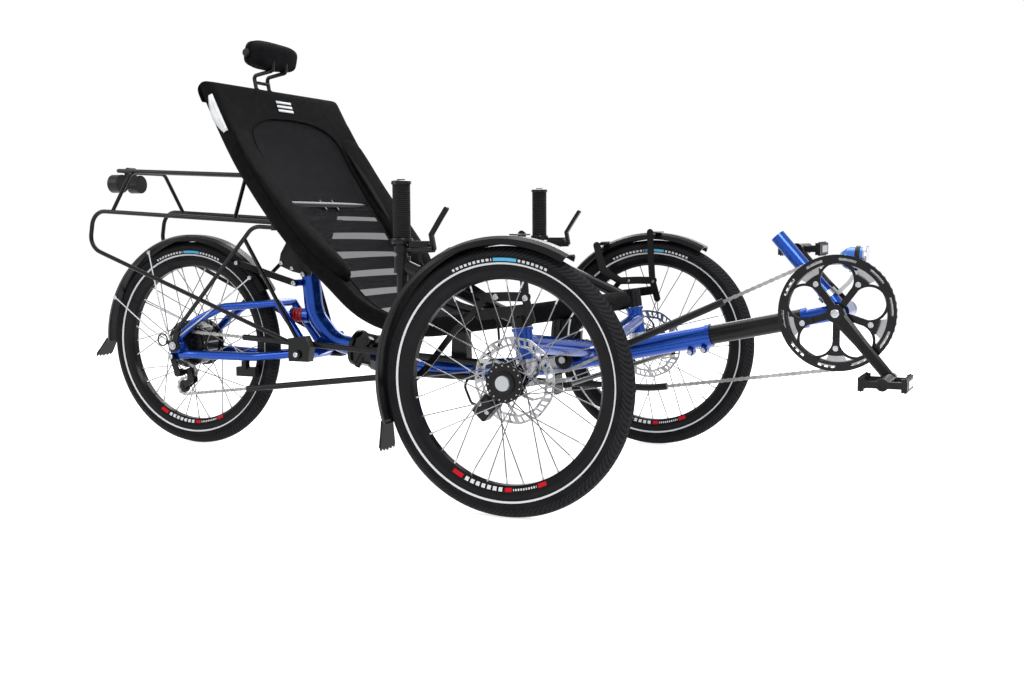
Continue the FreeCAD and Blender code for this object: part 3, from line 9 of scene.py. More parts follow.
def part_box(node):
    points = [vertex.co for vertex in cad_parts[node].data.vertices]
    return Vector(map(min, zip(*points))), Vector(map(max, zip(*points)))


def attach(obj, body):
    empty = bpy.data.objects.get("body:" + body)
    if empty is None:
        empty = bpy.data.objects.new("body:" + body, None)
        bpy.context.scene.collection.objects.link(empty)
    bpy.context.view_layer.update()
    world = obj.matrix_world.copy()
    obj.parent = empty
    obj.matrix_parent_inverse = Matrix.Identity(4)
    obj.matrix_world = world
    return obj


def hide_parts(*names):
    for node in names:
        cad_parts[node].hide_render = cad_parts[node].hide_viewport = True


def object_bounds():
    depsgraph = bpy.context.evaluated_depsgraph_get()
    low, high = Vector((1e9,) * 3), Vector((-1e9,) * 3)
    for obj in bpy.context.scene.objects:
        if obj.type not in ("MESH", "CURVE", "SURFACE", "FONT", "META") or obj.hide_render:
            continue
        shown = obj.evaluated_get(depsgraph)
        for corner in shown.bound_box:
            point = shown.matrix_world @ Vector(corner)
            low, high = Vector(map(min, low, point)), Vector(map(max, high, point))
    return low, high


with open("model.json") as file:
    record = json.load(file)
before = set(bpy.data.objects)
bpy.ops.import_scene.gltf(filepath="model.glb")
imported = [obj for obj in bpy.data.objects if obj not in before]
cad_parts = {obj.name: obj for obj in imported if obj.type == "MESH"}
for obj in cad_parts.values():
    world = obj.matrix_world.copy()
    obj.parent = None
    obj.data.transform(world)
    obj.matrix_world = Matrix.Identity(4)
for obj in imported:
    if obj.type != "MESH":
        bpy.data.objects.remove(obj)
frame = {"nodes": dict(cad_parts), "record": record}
cad_box = [list(corner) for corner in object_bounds()]

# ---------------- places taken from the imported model
def middle_of(node):
    """The middle of a node's box."""
    low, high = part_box(node)
    return (low + high) / 2


REAR_AXLE = middle_of("tyre_rear")
FRONT_AXLE = middle_of("tyre_right")
# the right side is at negative y
SIDES = (("right", -1), ("left", 1))


def rear(x, y, z):
    """A point given in millimetres from the rear axle."""
    return REAR_AXLE + Vector((x, y, z)) / 1000


def front(x, y, z):
    """A point given in millimetres from the line of the front axles."""
    return Vector((FRONT_AXLE.x + x / 1000, y / 1000, REAR_AXLE.z + z / 1000))


# the middle of the bottom bracket, which the cranks turn about
BRACKET = rear(1531.0, 0, 113.1)


# ---------------- camera, floor and light
def add_object(name, data):
    """A new object in the scene."""
    made = bpy.data.objects.new(name, data)
    bpy.context.scene.collection.objects.link(made)
    return made


def camera():
    """The main view: from the right, ahead of the wheels and at sitting height."""
    azimuth, tilt, roll = radians(114.70), radians(-5.223), radians(-0.26)
    look = Vector((cos(tilt) * cos(azimuth), cos(tilt) * sin(azimuth), sin(tilt)))
    right = look.cross(Vector((0, 0, 1))).normalized()
    up = right.cross(look)
    side = right * cos(roll) + up * sin(roll)
    up = side.cross(look)
    data = bpy.data.cameras.new("camera")
    data.lens = 43.92
    data.sensor_width = 36.0
    eye = add_object("camera", data)
    place = Vector((REAR_AXLE.x + 1.95164, -2.41573, 0.51982))
    turn = Matrix((side, up, -look)).transposed().to_4x4()
    eye.matrix_world = Matrix.Translation(place) @ turn
    bpy.context.scene.camera = eye


def lamp(name, at, aim, size, watts):
    """A soft rectangular lamp at a place, turned to face another."""
    data = bpy.data.lights.new(name, "AREA")
    data.shape = "RECTANGLE"
    data.size, data.size_y = size
    data.energy = watts
    light = add_object(name, data)
    light.location = at
    light.rotation_euler = (Vector(aim) - Vector(at)).to_track_quat("-Z", "Y").to_euler()


def sees_backdrop(tree):
    """1 for rays that come straight from the camera, a mirror or glass."""
    path = tree.nodes.new("ShaderNodeLightPath")
    last = path.outputs["Is Camera Ray"]
    for name in ("Is Glossy Ray", "Is Transmission Ray"):
        join = tree.nodes.new("ShaderNodeMath")
        join.operation = "MAXIMUM"
        tree.links.new(last, join.inputs[0])
        tree.links.new(path.outputs[name], join.inputs[1])
        last = join.outputs[0]
    return last


def floor_material():
    """Matt and pale; where it is seen directly it also glows, so that only the shadow darkens it."""
    paint = Paint("floor_white", (0.8, 0.8, 0.8), 0.9, shine=0.0)
    paint.set("Emission Color", (1, 1, 1, 1))
    paint.set("Emission Strength", paint.times(sees_backdrop(paint.tree), 0.72))
    return paint.made


def studio():
    """Soft white world, a wide pale floor just under the wheels, and four lamps."""
    world = bpy.data.worlds.new("studio")
    world.use_nodes = True
    tree = world.node_tree
    tree.nodes.clear()
    out = tree.nodes.new("ShaderNodeOutputWorld")
    mix = tree.nodes.new("ShaderNodeMixShader")
    tree.links.new(sees_backdrop(tree), mix.inputs["Fac"])
    # what lights the object, and the white that is seen behind it
    for n, colour, strength in ((1, (0.95, 0.97, 1.0, 1), 0.42), (2, (1, 1, 1, 1), 1.0)):
        light = tree.nodes.new("ShaderNodeBackground")
        light.inputs["Color"].default_value = colour
        light.inputs["Strength"].default_value = strength
        tree.links.new(light.outputs[0], mix.inputs[n])
    tree.links.new(mix.outputs[0], out.inputs["Surface"])
    bpy.context.scene.world = world
    bpy.context.scene.view_settings.view_transform = "Standard"

    mesh = bpy.data.meshes.new("floor")
    far = 14.0
    below_wheels = 0.0005
    mesh.from_pydata([(-far, -far, 0), (far, -far, 0), (far, far, 0), (-far, far, 0)], [], [(0, 1, 2, 3)])
    floor = add_object("floor", mesh)
    floor.location.z = cad_box[0][2] - below_wheels
    mesh.materials.append(floor_material())

    middle = (0, 0, 0.35)
    lamp("key_lamp", (2.6, -3.4, 3.4), middle, (2.4, 1.6), 130)
    lamp("fill_lamp", (-3.2, -2.4, 2.2), middle, (2.2, 1.6), 45)
    lamp("top_lamp", (0.2, 0.6, 3.8), middle, (3.2, 2.4), 80)
    lamp("rim_lamp", (-0.5, 3.4, 2.4), middle, (3.0, 1.4), 70)


# ---------------- materials
class Paint:
    """A Principled material and short ways to add texture nodes to it."""

    def __init__(self, name, colour, roughness, metallic=0.0, shine=0.5):
        self.made = bpy.data.materials.new(name)
        self.made.use_nodes = True
        self.tree = self.made.node_tree
        self.shader = self.tree.nodes["Principled BSDF"]
        self.set("Base Color", (*colour, 1))
        self.set("Roughness", roughness)
        self.set("Metallic", metallic)
        self.set("Specular IOR Level", shine)
        self.colour = colour
        self.place = self.tree.nodes.new("ShaderNodeTexCoord").outputs["Object"]

    def feed(self, socket, value):
        """Links an output to a socket, or sets the socket to a number or a colour."""
        if isinstance(value, bpy.types.NodeSocket):
            self.tree.links.new(value, socket)
        else:
            socket.default_value = value

    def set(self, name, value):
        self.feed(self.shader.inputs[name], value)

    def node(self, kind, inputs, **settings):
        """A new node with its settings and then its inputs."""
        made = self.tree.nodes.new(kind)
        for key, value in settings.items():
            setattr(made, key, value)
        for name, value in inputs.items():
            self.feed(made.inputs[name], value)
        return made

    def noise(self, scale, detail):
        inputs = {"Vector": self.place, "Scale": scale, "Detail": detail}
        return self.node("ShaderNodeTexNoise", inputs).outputs["Fac"]

    def math(self, operation, a, b=0.0):
        return self.node("ShaderNodeMath", {0: a, 1: b}, operation=operation).outputs[0]

    def times(self, product, *others):
        for other in others:
            product = self.math("MULTIPLY", product, other)
        return product

    def waves(self, value, per_unit, level):
        """1 where a sine of value times per_unit is above level, else 0."""
        return self.math("GREATER_THAN", self.math("SINE", self.times(value, per_unit)), level)

    def between(self, factor, dark, pale):
        """A colour that runs from dark to pale over the middle of factor's range."""
        made = self.node("ShaderNodeValToRGB", {"Fac": factor})
        for element, position, colour in zip(made.color_ramp.elements, (0.3, 0.7), (dark, pale)):
            element.position = position
            element.color = (*colour, 1)
        return made.outputs["Color"]

    def over(self, base, mask, colour):
        """The colour laid over base where mask is 1."""
        inputs = {"Factor": mask, "A": base, "B": (*colour, 1)}
        return self.node("ShaderNodeMix", inputs, data_type="RGBA").outputs["Result"]

    def vary(self, factor, spread):
        """The base colour, a little darker and lighter with factor."""
        low = [c * (1 - spread) for c in self.colour]
        high = [min(1, c * (1 + spread)) for c in self.colour]
        self.set("Base Color", self.between(factor, low, high))

    def rough(self, factor, low, high):
        inputs = {"Value": factor, "To Min": low, "To Max": high}
        self.set("Roughness", self.node("ShaderNodeMapRange", inputs).outputs["Result"])

    def bump(self, height, distance):
        inputs = {"Height": height, "Distance": distance}
        self.set("Normal", self.node("ShaderNodeBump", inputs).outputs["Normal"])

    def split(self):
        return self.node("ShaderNodeSeparateXYZ", {0: self.place}).outputs

    def band(self, value, low, high):
        """1 between low and high, else 0."""
        above = self.math("GREATER_THAN", value, low)
        return self.times(above, self.math("LESS_THAN", value, high))

    def round_about(self, centre):
        """Radius and angle about a wheel's axle, and the distance from its plane."""
        split = self.split()
        x = self.math("SUBTRACT", split["X"], centre.x)
        y = self.math("SUBTRACT", split["Y"], centre.y)
        z = self.math("SUBTRACT", split["Z"], centre.z)
        radius = self.math("SQRT", self.math("ADD", self.times(x, x), self.times(z, z)))
        return radius, self.math("ARCTAN2", z, x), y


def frame_blue():
    """Deep blue metallic lacquer under a clear coat."""
    paint = Paint("frame_blue", (0.001, 0.052, 0.34), 0.26, 0.75)
    paint.set("Coat Weight", 0.35)
    paint.set("Coat Roughness", 0.03)
    paint.vary(paint.noise(900, 2), 0.3)
    paint.bump(paint.noise(2200, 1), 0.00002)
    return paint.made


def plain(name, colour, roughness, metallic=0.0, grain=600.0, spread=0.2, depth=0.00003, coat=0.0, shine=0.5):
    """One colour, a little uneven in colour and gloss, with a fine grain (grain is its scale)."""
    paint = Paint(name, colour, roughness, metallic, shine)
    paint.set("Coat Weight", coat)
    paint.vary(paint.noise(grain / 20, 4), spread)
    paint.rough(paint.noise(grain / 8, 3), roughness * 0.8, min(1, roughness * 1.25))
    paint.bump(paint.noise(grain, 2), depth)
    return paint.made


# Radii in metres and angles in radians, upwards from straight ahead, on a tyre's side.
TREAD = (0.2262, 0.30)
STRIPE = (0.2108, 0.2142)
LETTER_ROW = (0.2172, 0.2218)
PATCH_ROW = (0.2166, 0.2224)
WORD_ANGLES = ((1.655, 2.02), (1.16, 1.42))
PATCH_ANGLES = (1.435, 1.64)


def tyre(name, centre):
    """Black rubber with a slanted tread whose grooves hold painted shade, a reflective stripe and a label of
    plain bars.
    """
    paint = Paint(name, (0.010, 0.010, 0.011), 0.6, shine=0.05)
    radius, angle, y = paint.round_about(centre)
    colour = paint.between(paint.noise(40, 4), (0.007, 0.007, 0.008), (0.014, 0.014, 0.015))
    bars = paint.waves(angle, 157.0, -0.35)
    words = paint.math("MAXIMUM", *[paint.band(angle, *ends) for ends in WORD_ANGLES])
    letters = paint.times(paint.band(radius, *LETTER_ROW), words, bars)
    patch = paint.times(paint.band(radius, *PATCH_ROW), paint.band(angle, *PATCH_ANGLES))
    slant = paint.times(paint.math("ABSOLUTE", y), 900.0)
    lean = paint.times(radius, 1400.0)
    wave = paint.math("ADD", paint.times(angle, 150.0), paint.math("ADD", slant, lean))
    groove = paint.math("GREATER_THAN", paint.math("SINE", wave), 0.35)
    tread = paint.band(radius, *TREAD)
    cut = paint.times(groove, tread)
    # painted shade: the grooves keep the darker base colour while the tread blocks between them are painted
    # lighter, as if lit
    lit_tread_blocks = paint.times(paint.math("SUBTRACT", 1.0, groove), tread)
    colour = paint.over(colour, lit_tread_blocks, (0.022, 0.022, 0.024))
    colour = paint.over(colour, paint.band(radius, *STRIPE), (0.72, 0.73, 0.73))
    colour = paint.over(colour, letters, (0.62, 0.63, 0.63))
    colour = paint.over(colour, patch, (0.10, 0.42, 0.68))
    colour = paint.over(colour, paint.times(patch, bars, letters), (0.8, 0.8, 0.8))
    paint.set("Base Color", colour)
    paint.bump(paint.math("SUBTRACT", 1.0, cut), 0.0012)
    return paint.made


# The same on a rim's face: white bars, small white dots, and red blocks beside them.
RIM_BARS = (0.1872, 0.1942)
RIM_DOTS = (0.1888, 0.1926)
BAR_ANGLES = (-1.985, -1.57)
DOT_ANGLES = (-1.47, -1.225)
RED_ANGLES = ((-2.12, -2.01), (-1.555, -1.485), (-1.21, -1.12))


def rim(name, centre):
    """Gloss black rim with red and white bars low on its face."""
    paint = Paint(name, (0.006, 0.006, 0.007), 0.2, shine=0.1)
    radius, angle, _ = paint.round_about(centre)
    face = paint.band(radius, *RIM_BARS)
    colour = paint.between(paint.noise(30, 3), (0.006, 0.006, 0.007), (0.009, 0.009, 0.010))
    small = paint.band(radius, *RIM_DOTS)
    white = paint.times(face, paint.waves(angle, 105.0, -0.45), paint.band(angle, *BAR_ANGLES))
    dots = paint.times(small, paint.waves(angle, 230.0, -0.2), paint.band(angle, *DOT_ANGLES))
    colour = paint.over(colour, paint.math("MAXIMUM", white, dots), (0.75, 0.75, 0.75))
    for low, high in RED_ANGLES:
        red = paint.times(face, paint.band(angle, low, high))
        colour = paint.over(colour, red, (0.60, 0.008, 0.02))
    paint.set("Base Color", colour)
    return paint.made


def hub(name, centre, cap_radius, shell_radius):
    """Black shell with a bright end cap, and bright spokes outside it."""
    paint = Paint(name, (0.012, 0.012, 0.013), 0.26, shine=0.15)
    radius, angle, _ = paint.round_about(centre)
    cap = paint.math("LESS_THAN", radius, cap_radius)
    bright = paint.math("MAXIMUM", paint.math("GREATER_THAN", radius, shell_radius), cap)
    colour = paint.between(paint.noise(50, 3), (0.006, 0.006, 0.007), (0.011, 0.011, 0.012))
    ring = paint.band(radius, shell_radius - 0.006, shell_radius - 0.0035)
    colour = paint.over(colour, paint.times(paint.waves(angle, 16.0, 0.8), ring), (0.45, 0.45, 0.45))
    colour = paint.over(paint.over(colour, bright, (0.16, 0.16, 0.165)), cap, (0.36, 0.37, 0.38))
    paint.set("Base Color", colour)
    paint.set("Metallic", bright)
    paint.rough(paint.noise(300, 2), 0.2, 0.32)
    return paint.made


def grooved(name, colour, roughness, per_metre, depth):
    """Even grooves one above the other, as on a grip."""
    paint = Paint(name, colour, roughness, shine=0.15)
    wave = paint.math("SINE", paint.times(paint.split()["Z"], per_metre * 2 * pi))
    paint.vary(paint.noise(200, 3), 0.3)
    paint.bump(wave, depth)
    return paint.made


SLOT_LOOKS = {
    "frame_blue": frame_blue(),
    "black_metal": plain("black_metal", (0.006, 0.006, 0.007), 0.22, shine=0.2),
    "silver": plain("silver", (0.44, 0.45, 0.47), 0.28, 1.0, spread=0.1),
    "steel": plain("steel", (0.33, 0.33, 0.34), 0.25, 1.0, spread=0.15),
    "chain_steel": plain("chain_steel", (0.30, 0.30, 0.29), 0.30, 1.0, spread=0.25),
    "black_plastic": plain("black_plastic", (0.007, 0.007, 0.008), 0.40, shine=0.2),
    "guard_plastic": plain("guard_plastic", (0.006, 0.006, 0.007), 0.24, spread=0.15, shine=0.12),
    "lamp_blue": plain("lamp_blue", (0.006, 0.12, 0.50), 0.22, 0.2, coat=0.8),
    "red_elastomer": plain("red_elastomer", (0.50, 0.008, 0.012), 0.45),
    "seat_cloth": plain("seat_cloth", (0.007, 0.007, 0.008), 0.9, grain=1800, depth=0.0003),
    "grip_rubber": grooved("grip_rubber", (0.009, 0.009, 0.009), 0.65, 260, 0.0008),
}
RED_LENS = plain("red_lens", (0.45, 0.01, 0.012), 0.12, coat=1.0)
LAMP_GLASS = plain("lamp_glass", (0.75, 0.78, 0.80), 0.08, 0.6, coat=1.0)
REFLECTIVE = plain("reflective_cloth", (0.62, 0.63, 0.64), 0.45, 0.3, grain=900, depth=0.0001)
# Radii, in metres, of a hub's bright end cap and of its shell, outside which only spokes are left.
REAR_HUB_RADII = (0.0, 0.057)
FRONT_HUB_RADII = (0.0138, 0.0362)


def dress_nodes():
    """Gives every node of the frame the look of its material slot."""
    for entry in frame["record"]["subparts"]:
        name = entry["node"]
        slot = entry["material_slot"]
        if name.startswith("hub_"):
            radii = REAR_HUB_RADII if name == "hub_rear" else FRONT_HUB_RADII
            look = hub(name, middle_of(name.replace("hub", "tyre")), *radii)
        elif slot == "tyre_rubber":
            look = tyre(name, middle_of(name))
        elif slot == "rim_black":
            look = rim(name, middle_of(name))
        else:
            look = SLOT_LOOKS[slot]
        materials = frame["nodes"][name].data.materials
        for n in range(len(materials)):
            materials[n] = look
        if not len(materials):
            materials.append(look)


# ---------------- meshes
def piece_from(name, points, faces, look, body, slot):
    """A smooth mesh piece that rides on a body."""
    mesh = bpy.data.meshes.new(name)
    mesh.from_pydata([tuple(p) for p in points], [], faces)
    mesh.update()
    mesh.polygons.foreach_set("use_smooth", [True] * len(mesh.polygons))
    made = add_object(name, mesh)
    mesh.materials.append(look)
    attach(made, body)
    return made


def grid_faces(rows, columns, base=0):
    """Quads of a grid of points given row by row."""
    faces = []
    for r in range(rows - 1):
        for c in range(columns - 1):
            a = base + r * columns + c
            faces.append((a, a + 1, a + columns + 1, a + columns))
    return faces


def mend(mesh, weld=0.0, sliver=0.0, fill=False):
    """Welds close points, drops slivers, fills open edges as asked and turns the faces outward."""
    work = bmesh.new()
    work.from_mesh(mesh)
    if weld:
        bmesh.ops.remove_doubles(work, verts=work.verts, dist=weld)
    if sliver:
        bmesh.ops.dissolve_degenerate(work, dist=sliver, edges=work.edges)
    if fill:
        bmesh.ops.holes_fill(work, edges=[edge for edge in work.edges if edge.is_boundary], sides=0)
    bmesh.ops.recalc_face_normals(work, faces=work.faces)
    work.to_mesh(mesh)
    work.free()


def angles(count):
    """Even angles all the way round."""
    return [2 * pi * n / count for n in range(count)]


def signed_power(value, power):
    """The value's size to a power, with its sign kept."""
    return abs(value) ** power * (1 if value >= 0 else -1)


def thicken(made, thickness, offset=-1.0, levels=0):
    """Gives a sheet its thickness; levels smooth it as well."""
    solid = made.modifiers.new("cloth", "SOLIDIFY")
    solid.thickness = thickness
    solid.offset = offset
    if levels:
        made.modifiers.new("smooth", "SUBSURF").levels = levels
        made.modifiers["smooth"].render_levels = levels


class Forms:
    """Gathers turned, looped and flat forms into one mesh."""

    def __init__(self):
        self.points = []
        self.faces = []

    def loft(self, rings, closed=False):
        """Rings of equal counts joined in turn, with capped ends unless closed."""
        base = len(self.points)
        count = len(rings[0])
        for ring in rings:
            self.points += ring
        last = len(rings) if closed else len(rings) - 1
        for r in range(last):
            for c in range(count):
                a = base + r * count + c
                b = base + r * count + (c + 1) % count
                step = ((r + 1) % len(rings) - r) * count
                self.faces.append((a, b, b + step, a + step))
        if not closed:
            self.faces.append(tuple(base + c for c in reversed(range(count))))
            end = base + (len(rings) - 1) * count
            self.faces.append(tuple(end + c for c in range(count)))

    def turned(self, at, axis, profile, sides):
        """A form turned about axis from at: profile is (radius, distance), in millimetres."""
        axis = Vector(axis).normalized()
        one = axis.orthogonal().normalized()
        two = axis.cross(one)
        rings = []
        for radius, along in profile:
            middle = at + axis * (along / 1000)
            rings.append([middle + (one * cos(turn) + two * sin(turn)) * (radius / 1000)
                          for turn in angles(sides)])
        self.loft(rings)

    def bolt(self, at, axis, radius, height=3.0):
        """A round head with a socket in it."""
        self.turned(at, axis, [(radius, -0.5), (radius, height * 0.7), (radius * 0.85, height),
                               (radius * 0.5, height), (radius * 0.45, height * 0.4)], 12)

    def hoop(self, line, radius, sides):
        """A round rod along a closed loop of points; radius is in metres."""
        rings = []
        side = None
        for n, place in enumerate(line):
            way = (line[(n + 1) % len(line)] - line[n - 1]).normalized()
            side = way.orthogonal() if side is None else side - way * side.dot(way)
            side = side.normalized()
            other = way.cross(side)
            rings.append([place + (side * cos(turn) + other * sin(turn)) * radius for turn in angles(sides)])
        self.loft(rings, closed=True)

    def slab(self, outline, lift):
        """A flat plate: its outline, and the vector to its other face."""
        self.loft([list(outline), [p + lift for p in outline]])

    def piece(self, name, body, slot, look=None):
        """All the gathered forms as one piece, smooth but for its sharp edges."""
        made = piece_from(name, self.points, self.faces, look or SLOT_LOOKS[slot], body, slot)
        mend(made.data)
        made.modifiers.new("edges", "EDGE_SPLIT").split_angle = radians(38)
        return made


# ---------------- seat cover
# The cover's middle line seen from the side, in millimetres ahead of and above the rear axle.
SEAT_LINE = [(252, 578), (338, 414), (480, 227), (590, 102), (700, 79), (1035, 129)]
# How far from each of its inner corners, in metres, the line starts to bend.
SEAT_BENDS = [0.12, 0.05, 0.055, 0.05]
# Half widths of the cover, the rails and the mesh panel, by x ahead of the rear axle.
COVER_HALF = [(200, 240), (338, 252), (430, 246), (480, 232), (520, 208), (600, 183), (1100, 155)]
RAIL_HALF = [(252, 222), (338, 230), (480, 196), (590, 161), (700, 155), (1035, 139)]
PANEL_HALF = [(200, 168), (338, 174), (430, 166), (500, 150), (560, 138), (620, 142), (1100, 118)]
# The mesh panel starts and stops this far, in metres, from the cover's two ends.
PANEL_TOP, PANEL_TAIL = 0.062, 0.055
# It widens over this much of its length at the top, and narrows over this much at the foot.
PANEL_ARCH, PANEL_FOOT = 0.085, 0.05
# How far the cloth stands over the rails, how far it sags between them, and how far behind the
# side line the straps run, less their bow in the middle.
OVER_RAIL, SAG = 0.006, 0.022
BACK_DEPTH, BACK_BOW = 0.0315, 0.004
# Row distances: coarse along the cloth, and fine where the panel's edge curves.
COARSE_STEP, FINE_STEP = 0.012, 0.0033
CURVED_STRETCH = 0.05
# the body and the material slot of the seat's pieces
ON_FRAME = ("frame", "seat_cloth")


def steps_of(table, x):
    """The table's value at x, in metres, read between its rows."""
    for (x1, v1), (x2, v2) in zip(table, table[1:]):
        if x <= x2:
            return (v1 + (v2 - v1) * max(0.0, (x - x1) / (x2 - x1))) / 1000
    return table[-1][1] / 1000


class SeatLine:
    """The seat's side line: a place and its normal at a distance from the top."""

    def __init__(self):
        corners = [rear(x, 0, z) for x, z in SEAT_LINE]
        line = [corners[0]]
        steps, spacing = 12, 0.005
        for before, corner, after, bend in zip(corners, corners[1:], corners[2:], SEAT_BENDS):
            start = corner + (before - corner).normalized() * bend
            end = corner + (after - corner).normalized() * bend
            for n in range(steps + 1):
                t = n / steps
                line.append(start * (1 - t) ** 2 + corner * 2 * t * (1 - t) + end * t ** 2)
        line.append(corners[-1])
        self.line = []
        for a, b in zip(line, line[1:]):
            count = max(1, round((b - a).length / spacing))
            self.line += [a.lerp(b, n / count) for n in range(count)]
        self.line.append(line[-1])
        self.at = [0.0]
        for a, b in zip(self.line, self.line[1:]):
            self.at.append(self.at[-1] + (b - a).length)
        self.length = self.at[-1]

    def point(self, distance):
        """The place and the normal; the line runs on straight past its ends."""
        n = 0
        while n < len(self.at) - 2 and self.at[n + 1] < distance:
            n += 1
        way = (self.line[n + 1] - self.line[n]).normalized()
        place = self.line[n] + way * (distance - self.at[n])
        return place, Vector((-way.z, 0, way.x))

    def half(self, table, distance):
        """A half width, evened out over a short stretch."""
        total = 0.0
        shifts = (-0.03, -0.015, 0.0, 0.015, 0.03)
        for shift in shifts:
            x = (self.point(distance + shift)[0].x - REAR_AXLE.x) * 1000
            total += steps_of(table, x)
        return total / len(shifts)

    def panel(self, distance):
        """The mesh panel's half width: an arch at the top and a round foot."""
        rise = min(1.0, max(0.0, (distance - PANEL_TOP) / PANEL_ARCH))
        fall = min(1.0, max(0.0, (self.length - PANEL_TAIL - distance) / PANEL_FOOT))
        arch = (1 - (1 - rise) ** 2.8) ** 0.42 * (1 - (1 - fall) ** 2.6) ** 0.5
        return self.half(PANEL_HALF, distance) * arch

    def cloth(self, distance, y, lift=0.0):
        """A point on the cloth: it sags between the rails and rises over them."""
        place, normal = self.point(distance)
        share = min(1.0, abs(y) / self.half(COVER_HALF, distance))
        near_end = max(0.0, min(1.0, distance / 0.16, (self.length - distance) / 0.10))
        sag = OVER_RAIL - SAG * (1 - share ** 2.2) * near_end
        return Vector((place.x, y, place.z)) + normal * (sag + lift)

    def back(self, distance, y):
        """A point behind the rails, where the straps cross."""
        place, normal = self.point(distance)
        share = min(1.0, abs(y) / self.half(RAIL_HALF, distance))
        return Vector((place.x, y, place.z)) + normal * (BACK_BOW * (1 - share * share) - BACK_DEPTH)


def panel_rows(line):
    """Distances for the cloth's rows: close together at the panel's two ends, and one on each end."""
    foot = line.length - PANEL_TAIL
    stops = [0.0, PANEL_TOP, PANEL_TOP + CURVED_STRETCH, foot - CURVED_STRETCH, foot, line.length]
    steps = (COARSE_STEP, FINE_STEP, COARSE_STEP, FINE_STEP, COARSE_STEP)
    rows = [0.0]
    for a, b, step in zip(stops, stops[1:], steps):
        count = max(1, round((b - a) / step))
        rows += [a + (b - a) * (n + 1) / count for n in range(count)]
    return rows


def rows_on_panel(line):
    """Those of the rows that lie on the mesh panel, with its two ends."""
    slack = 1e-6
    return [row for row in panel_rows(line) if PANEL_TOP - slack < row < line.length - PANEL_TAIL + slack]


def seat_border(line, look):
    """The solid cloth round the panel, wrapped over the rails and the end bars."""
    rows = panel_rows(line)
    # how far past the edge, and how far behind the cloth, the cloth goes as it wraps a rail
    wrap = [(0.0040, -0.004), (0.0045, -0.013), (0.0025, -0.023), (-0.006, -0.0305), (-0.022, -0.0325),
            (-0.045, -0.0325)]
    columns = 10
    points = []
    faces = []
    # the ends go round the bars, then a little way back along the underside
    turns = [radians(angle) for angle in (62, 35, 8, -20, -50, -90)]
    ends = [(0.0135 * cos(turn), -0.0205 + 0.0185 * sin(turn)) for turn in turns] + [(-0.024, -0.0390)]
    stations = [(0.0, lift, -past) for past, lift in reversed(ends)]
    stations += [(row, 0.0, 0.0) for row in rows]
    stations += [(line.length, lift, past) for past, lift in ends]
    for side in (-1, 1):
        base = len(points)
        for row, lift, ahead in stations:
            half = line.half(COVER_HALF, row)
            inner = line.panel(row)
            place, normal = line.point(row)
            way = Vector((normal.z, 0, -normal.x))
            for c in range(columns):
                y = inner + (half - inner) * c / (columns - 1)
                points.append(line.cloth(row, side * y, lift) + way * ahead)
            for past, drop in wrap:
                depth = min(drop, lift + OVER_RAIL)
                edge = Vector((place.x, side * (half + past), place.z))
                points.append(edge + normal * depth + way * ahead)
        for face in grid_faces(len(stations), columns + len(wrap), base):
            faces.append(face if side > 0 else face[::-1])
    cover = piece_from("seat_cloth", points, faces, look, *ON_FRAME)
    mend(cover.data, weld=0.0002, sliver=0.0001)
    thicken(cover, 0.0022, 0.0, 1)
    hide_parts("seat_cover")


def seat_panel(line, look):
    """The open mesh in the middle, tucked a little under the border's edge."""
    rows = rows_on_panel(line)
    columns = 17
    tuck, below = 0.003, 0.0015
    points = []
    for row in rows:
        inner = line.panel(row) + tuck
        for c in range(columns):
            points.append(line.cloth(row, inner * (2 * c / (columns - 1) - 1), -below))
    panel = piece_from("seat_mesh_panel", points, grid_faces(len(rows), columns), look, *ON_FRAME)


def seat_seam(line, look):
    """A rolled seam where the panel is sewn to the border."""
    radius, lift = 0.0022, 0.001
    rows = rows_on_panel(line)
    right = [line.cloth(row, -line.panel(row), lift) for row in rows]
    left = [line.cloth(row, line.panel(row), lift) for row in rows]
    forms = Forms()
    forms.hoop(right + left[::-1], radius, 8)
    forms.piece("seat_seam", *ON_FRAME, look)


def seat_bolsters(line, look):
    """The padded edges of the back: slim at the top, proud and round at their lower ends."""
    first, last = 0.10, 0.505
    count, across = 41, 17
    for name, side in SIDES:
        points = []
        for n in range(count):
            share = n / (count - 1)
            row = first + (last - first) * share
            taper = max(0.02, (1 - abs(2 * share - 1) ** 9)) ** 0.5
            tall = (0.006 + 0.030 * share ** 1.6) * taper
            outer = line.half(COVER_HALF, row) + 0.003
            inner = line.half(PANEL_HALF, row) + 0.002 - 0.006 * share
            middle = (outer + inner) / 2
            wide = (outer - inner) / 2 * (0.25 + 0.75 * taper)
            normal = line.point(row)[1]
            for k in range(across):
                turn = pi * k / (across - 1)
                y = middle + wide * cos(turn)
                puff = tall * sin(turn) ** 0.55
                points.append(line.cloth(row, side * y, -0.001) + normal * puff)
        bolster = piece_from("seat_bolster_" + name, points, grid_faces(count, across), look, *ON_FRAME)
        mend(bolster.data, fill=True)


def seat_straps(line, look):
    """Webbing from rail to rail behind the panel, and the back cloth behind its top."""
    first, pitch, width, count = 0.335, 0.0525, 0.034, 11
    tilts = (0.0, 0.003, -0.002, 0.001)
    thickness = 0.0016
    # places across the seat, from rail to rail
    shares = [c / 4 - 1 for c in range(9)]
    for n in range(count):
        middle = first + n * pitch
        tilt = tilts[n % len(tilts)]
        half = line.half(RAIL_HALF, middle)
        points = []
        for end in (-width / 2, width / 2):
            points += [line.back(middle + end + tilt * share, share * half) for share in shares]
        strap = piece_from("seat_strap_%d" % n, points, grid_faces(2, len(shares)), look, *ON_FRAME)
        thicken(strap, thickness)
    steps, top, tall = 13, -0.006, 0.311
    points = []
    for n in range(steps + 1):
        row = top + tall * n / steps
        half = line.half(RAIL_HALF, row)
        points += [line.back(row, share * half) for share in shares]
    back = piece_from("seat_back_cloth", points, grid_faces(steps + 1, len(shares)), look, *ON_FRAME)
    thicken(back, thickness)


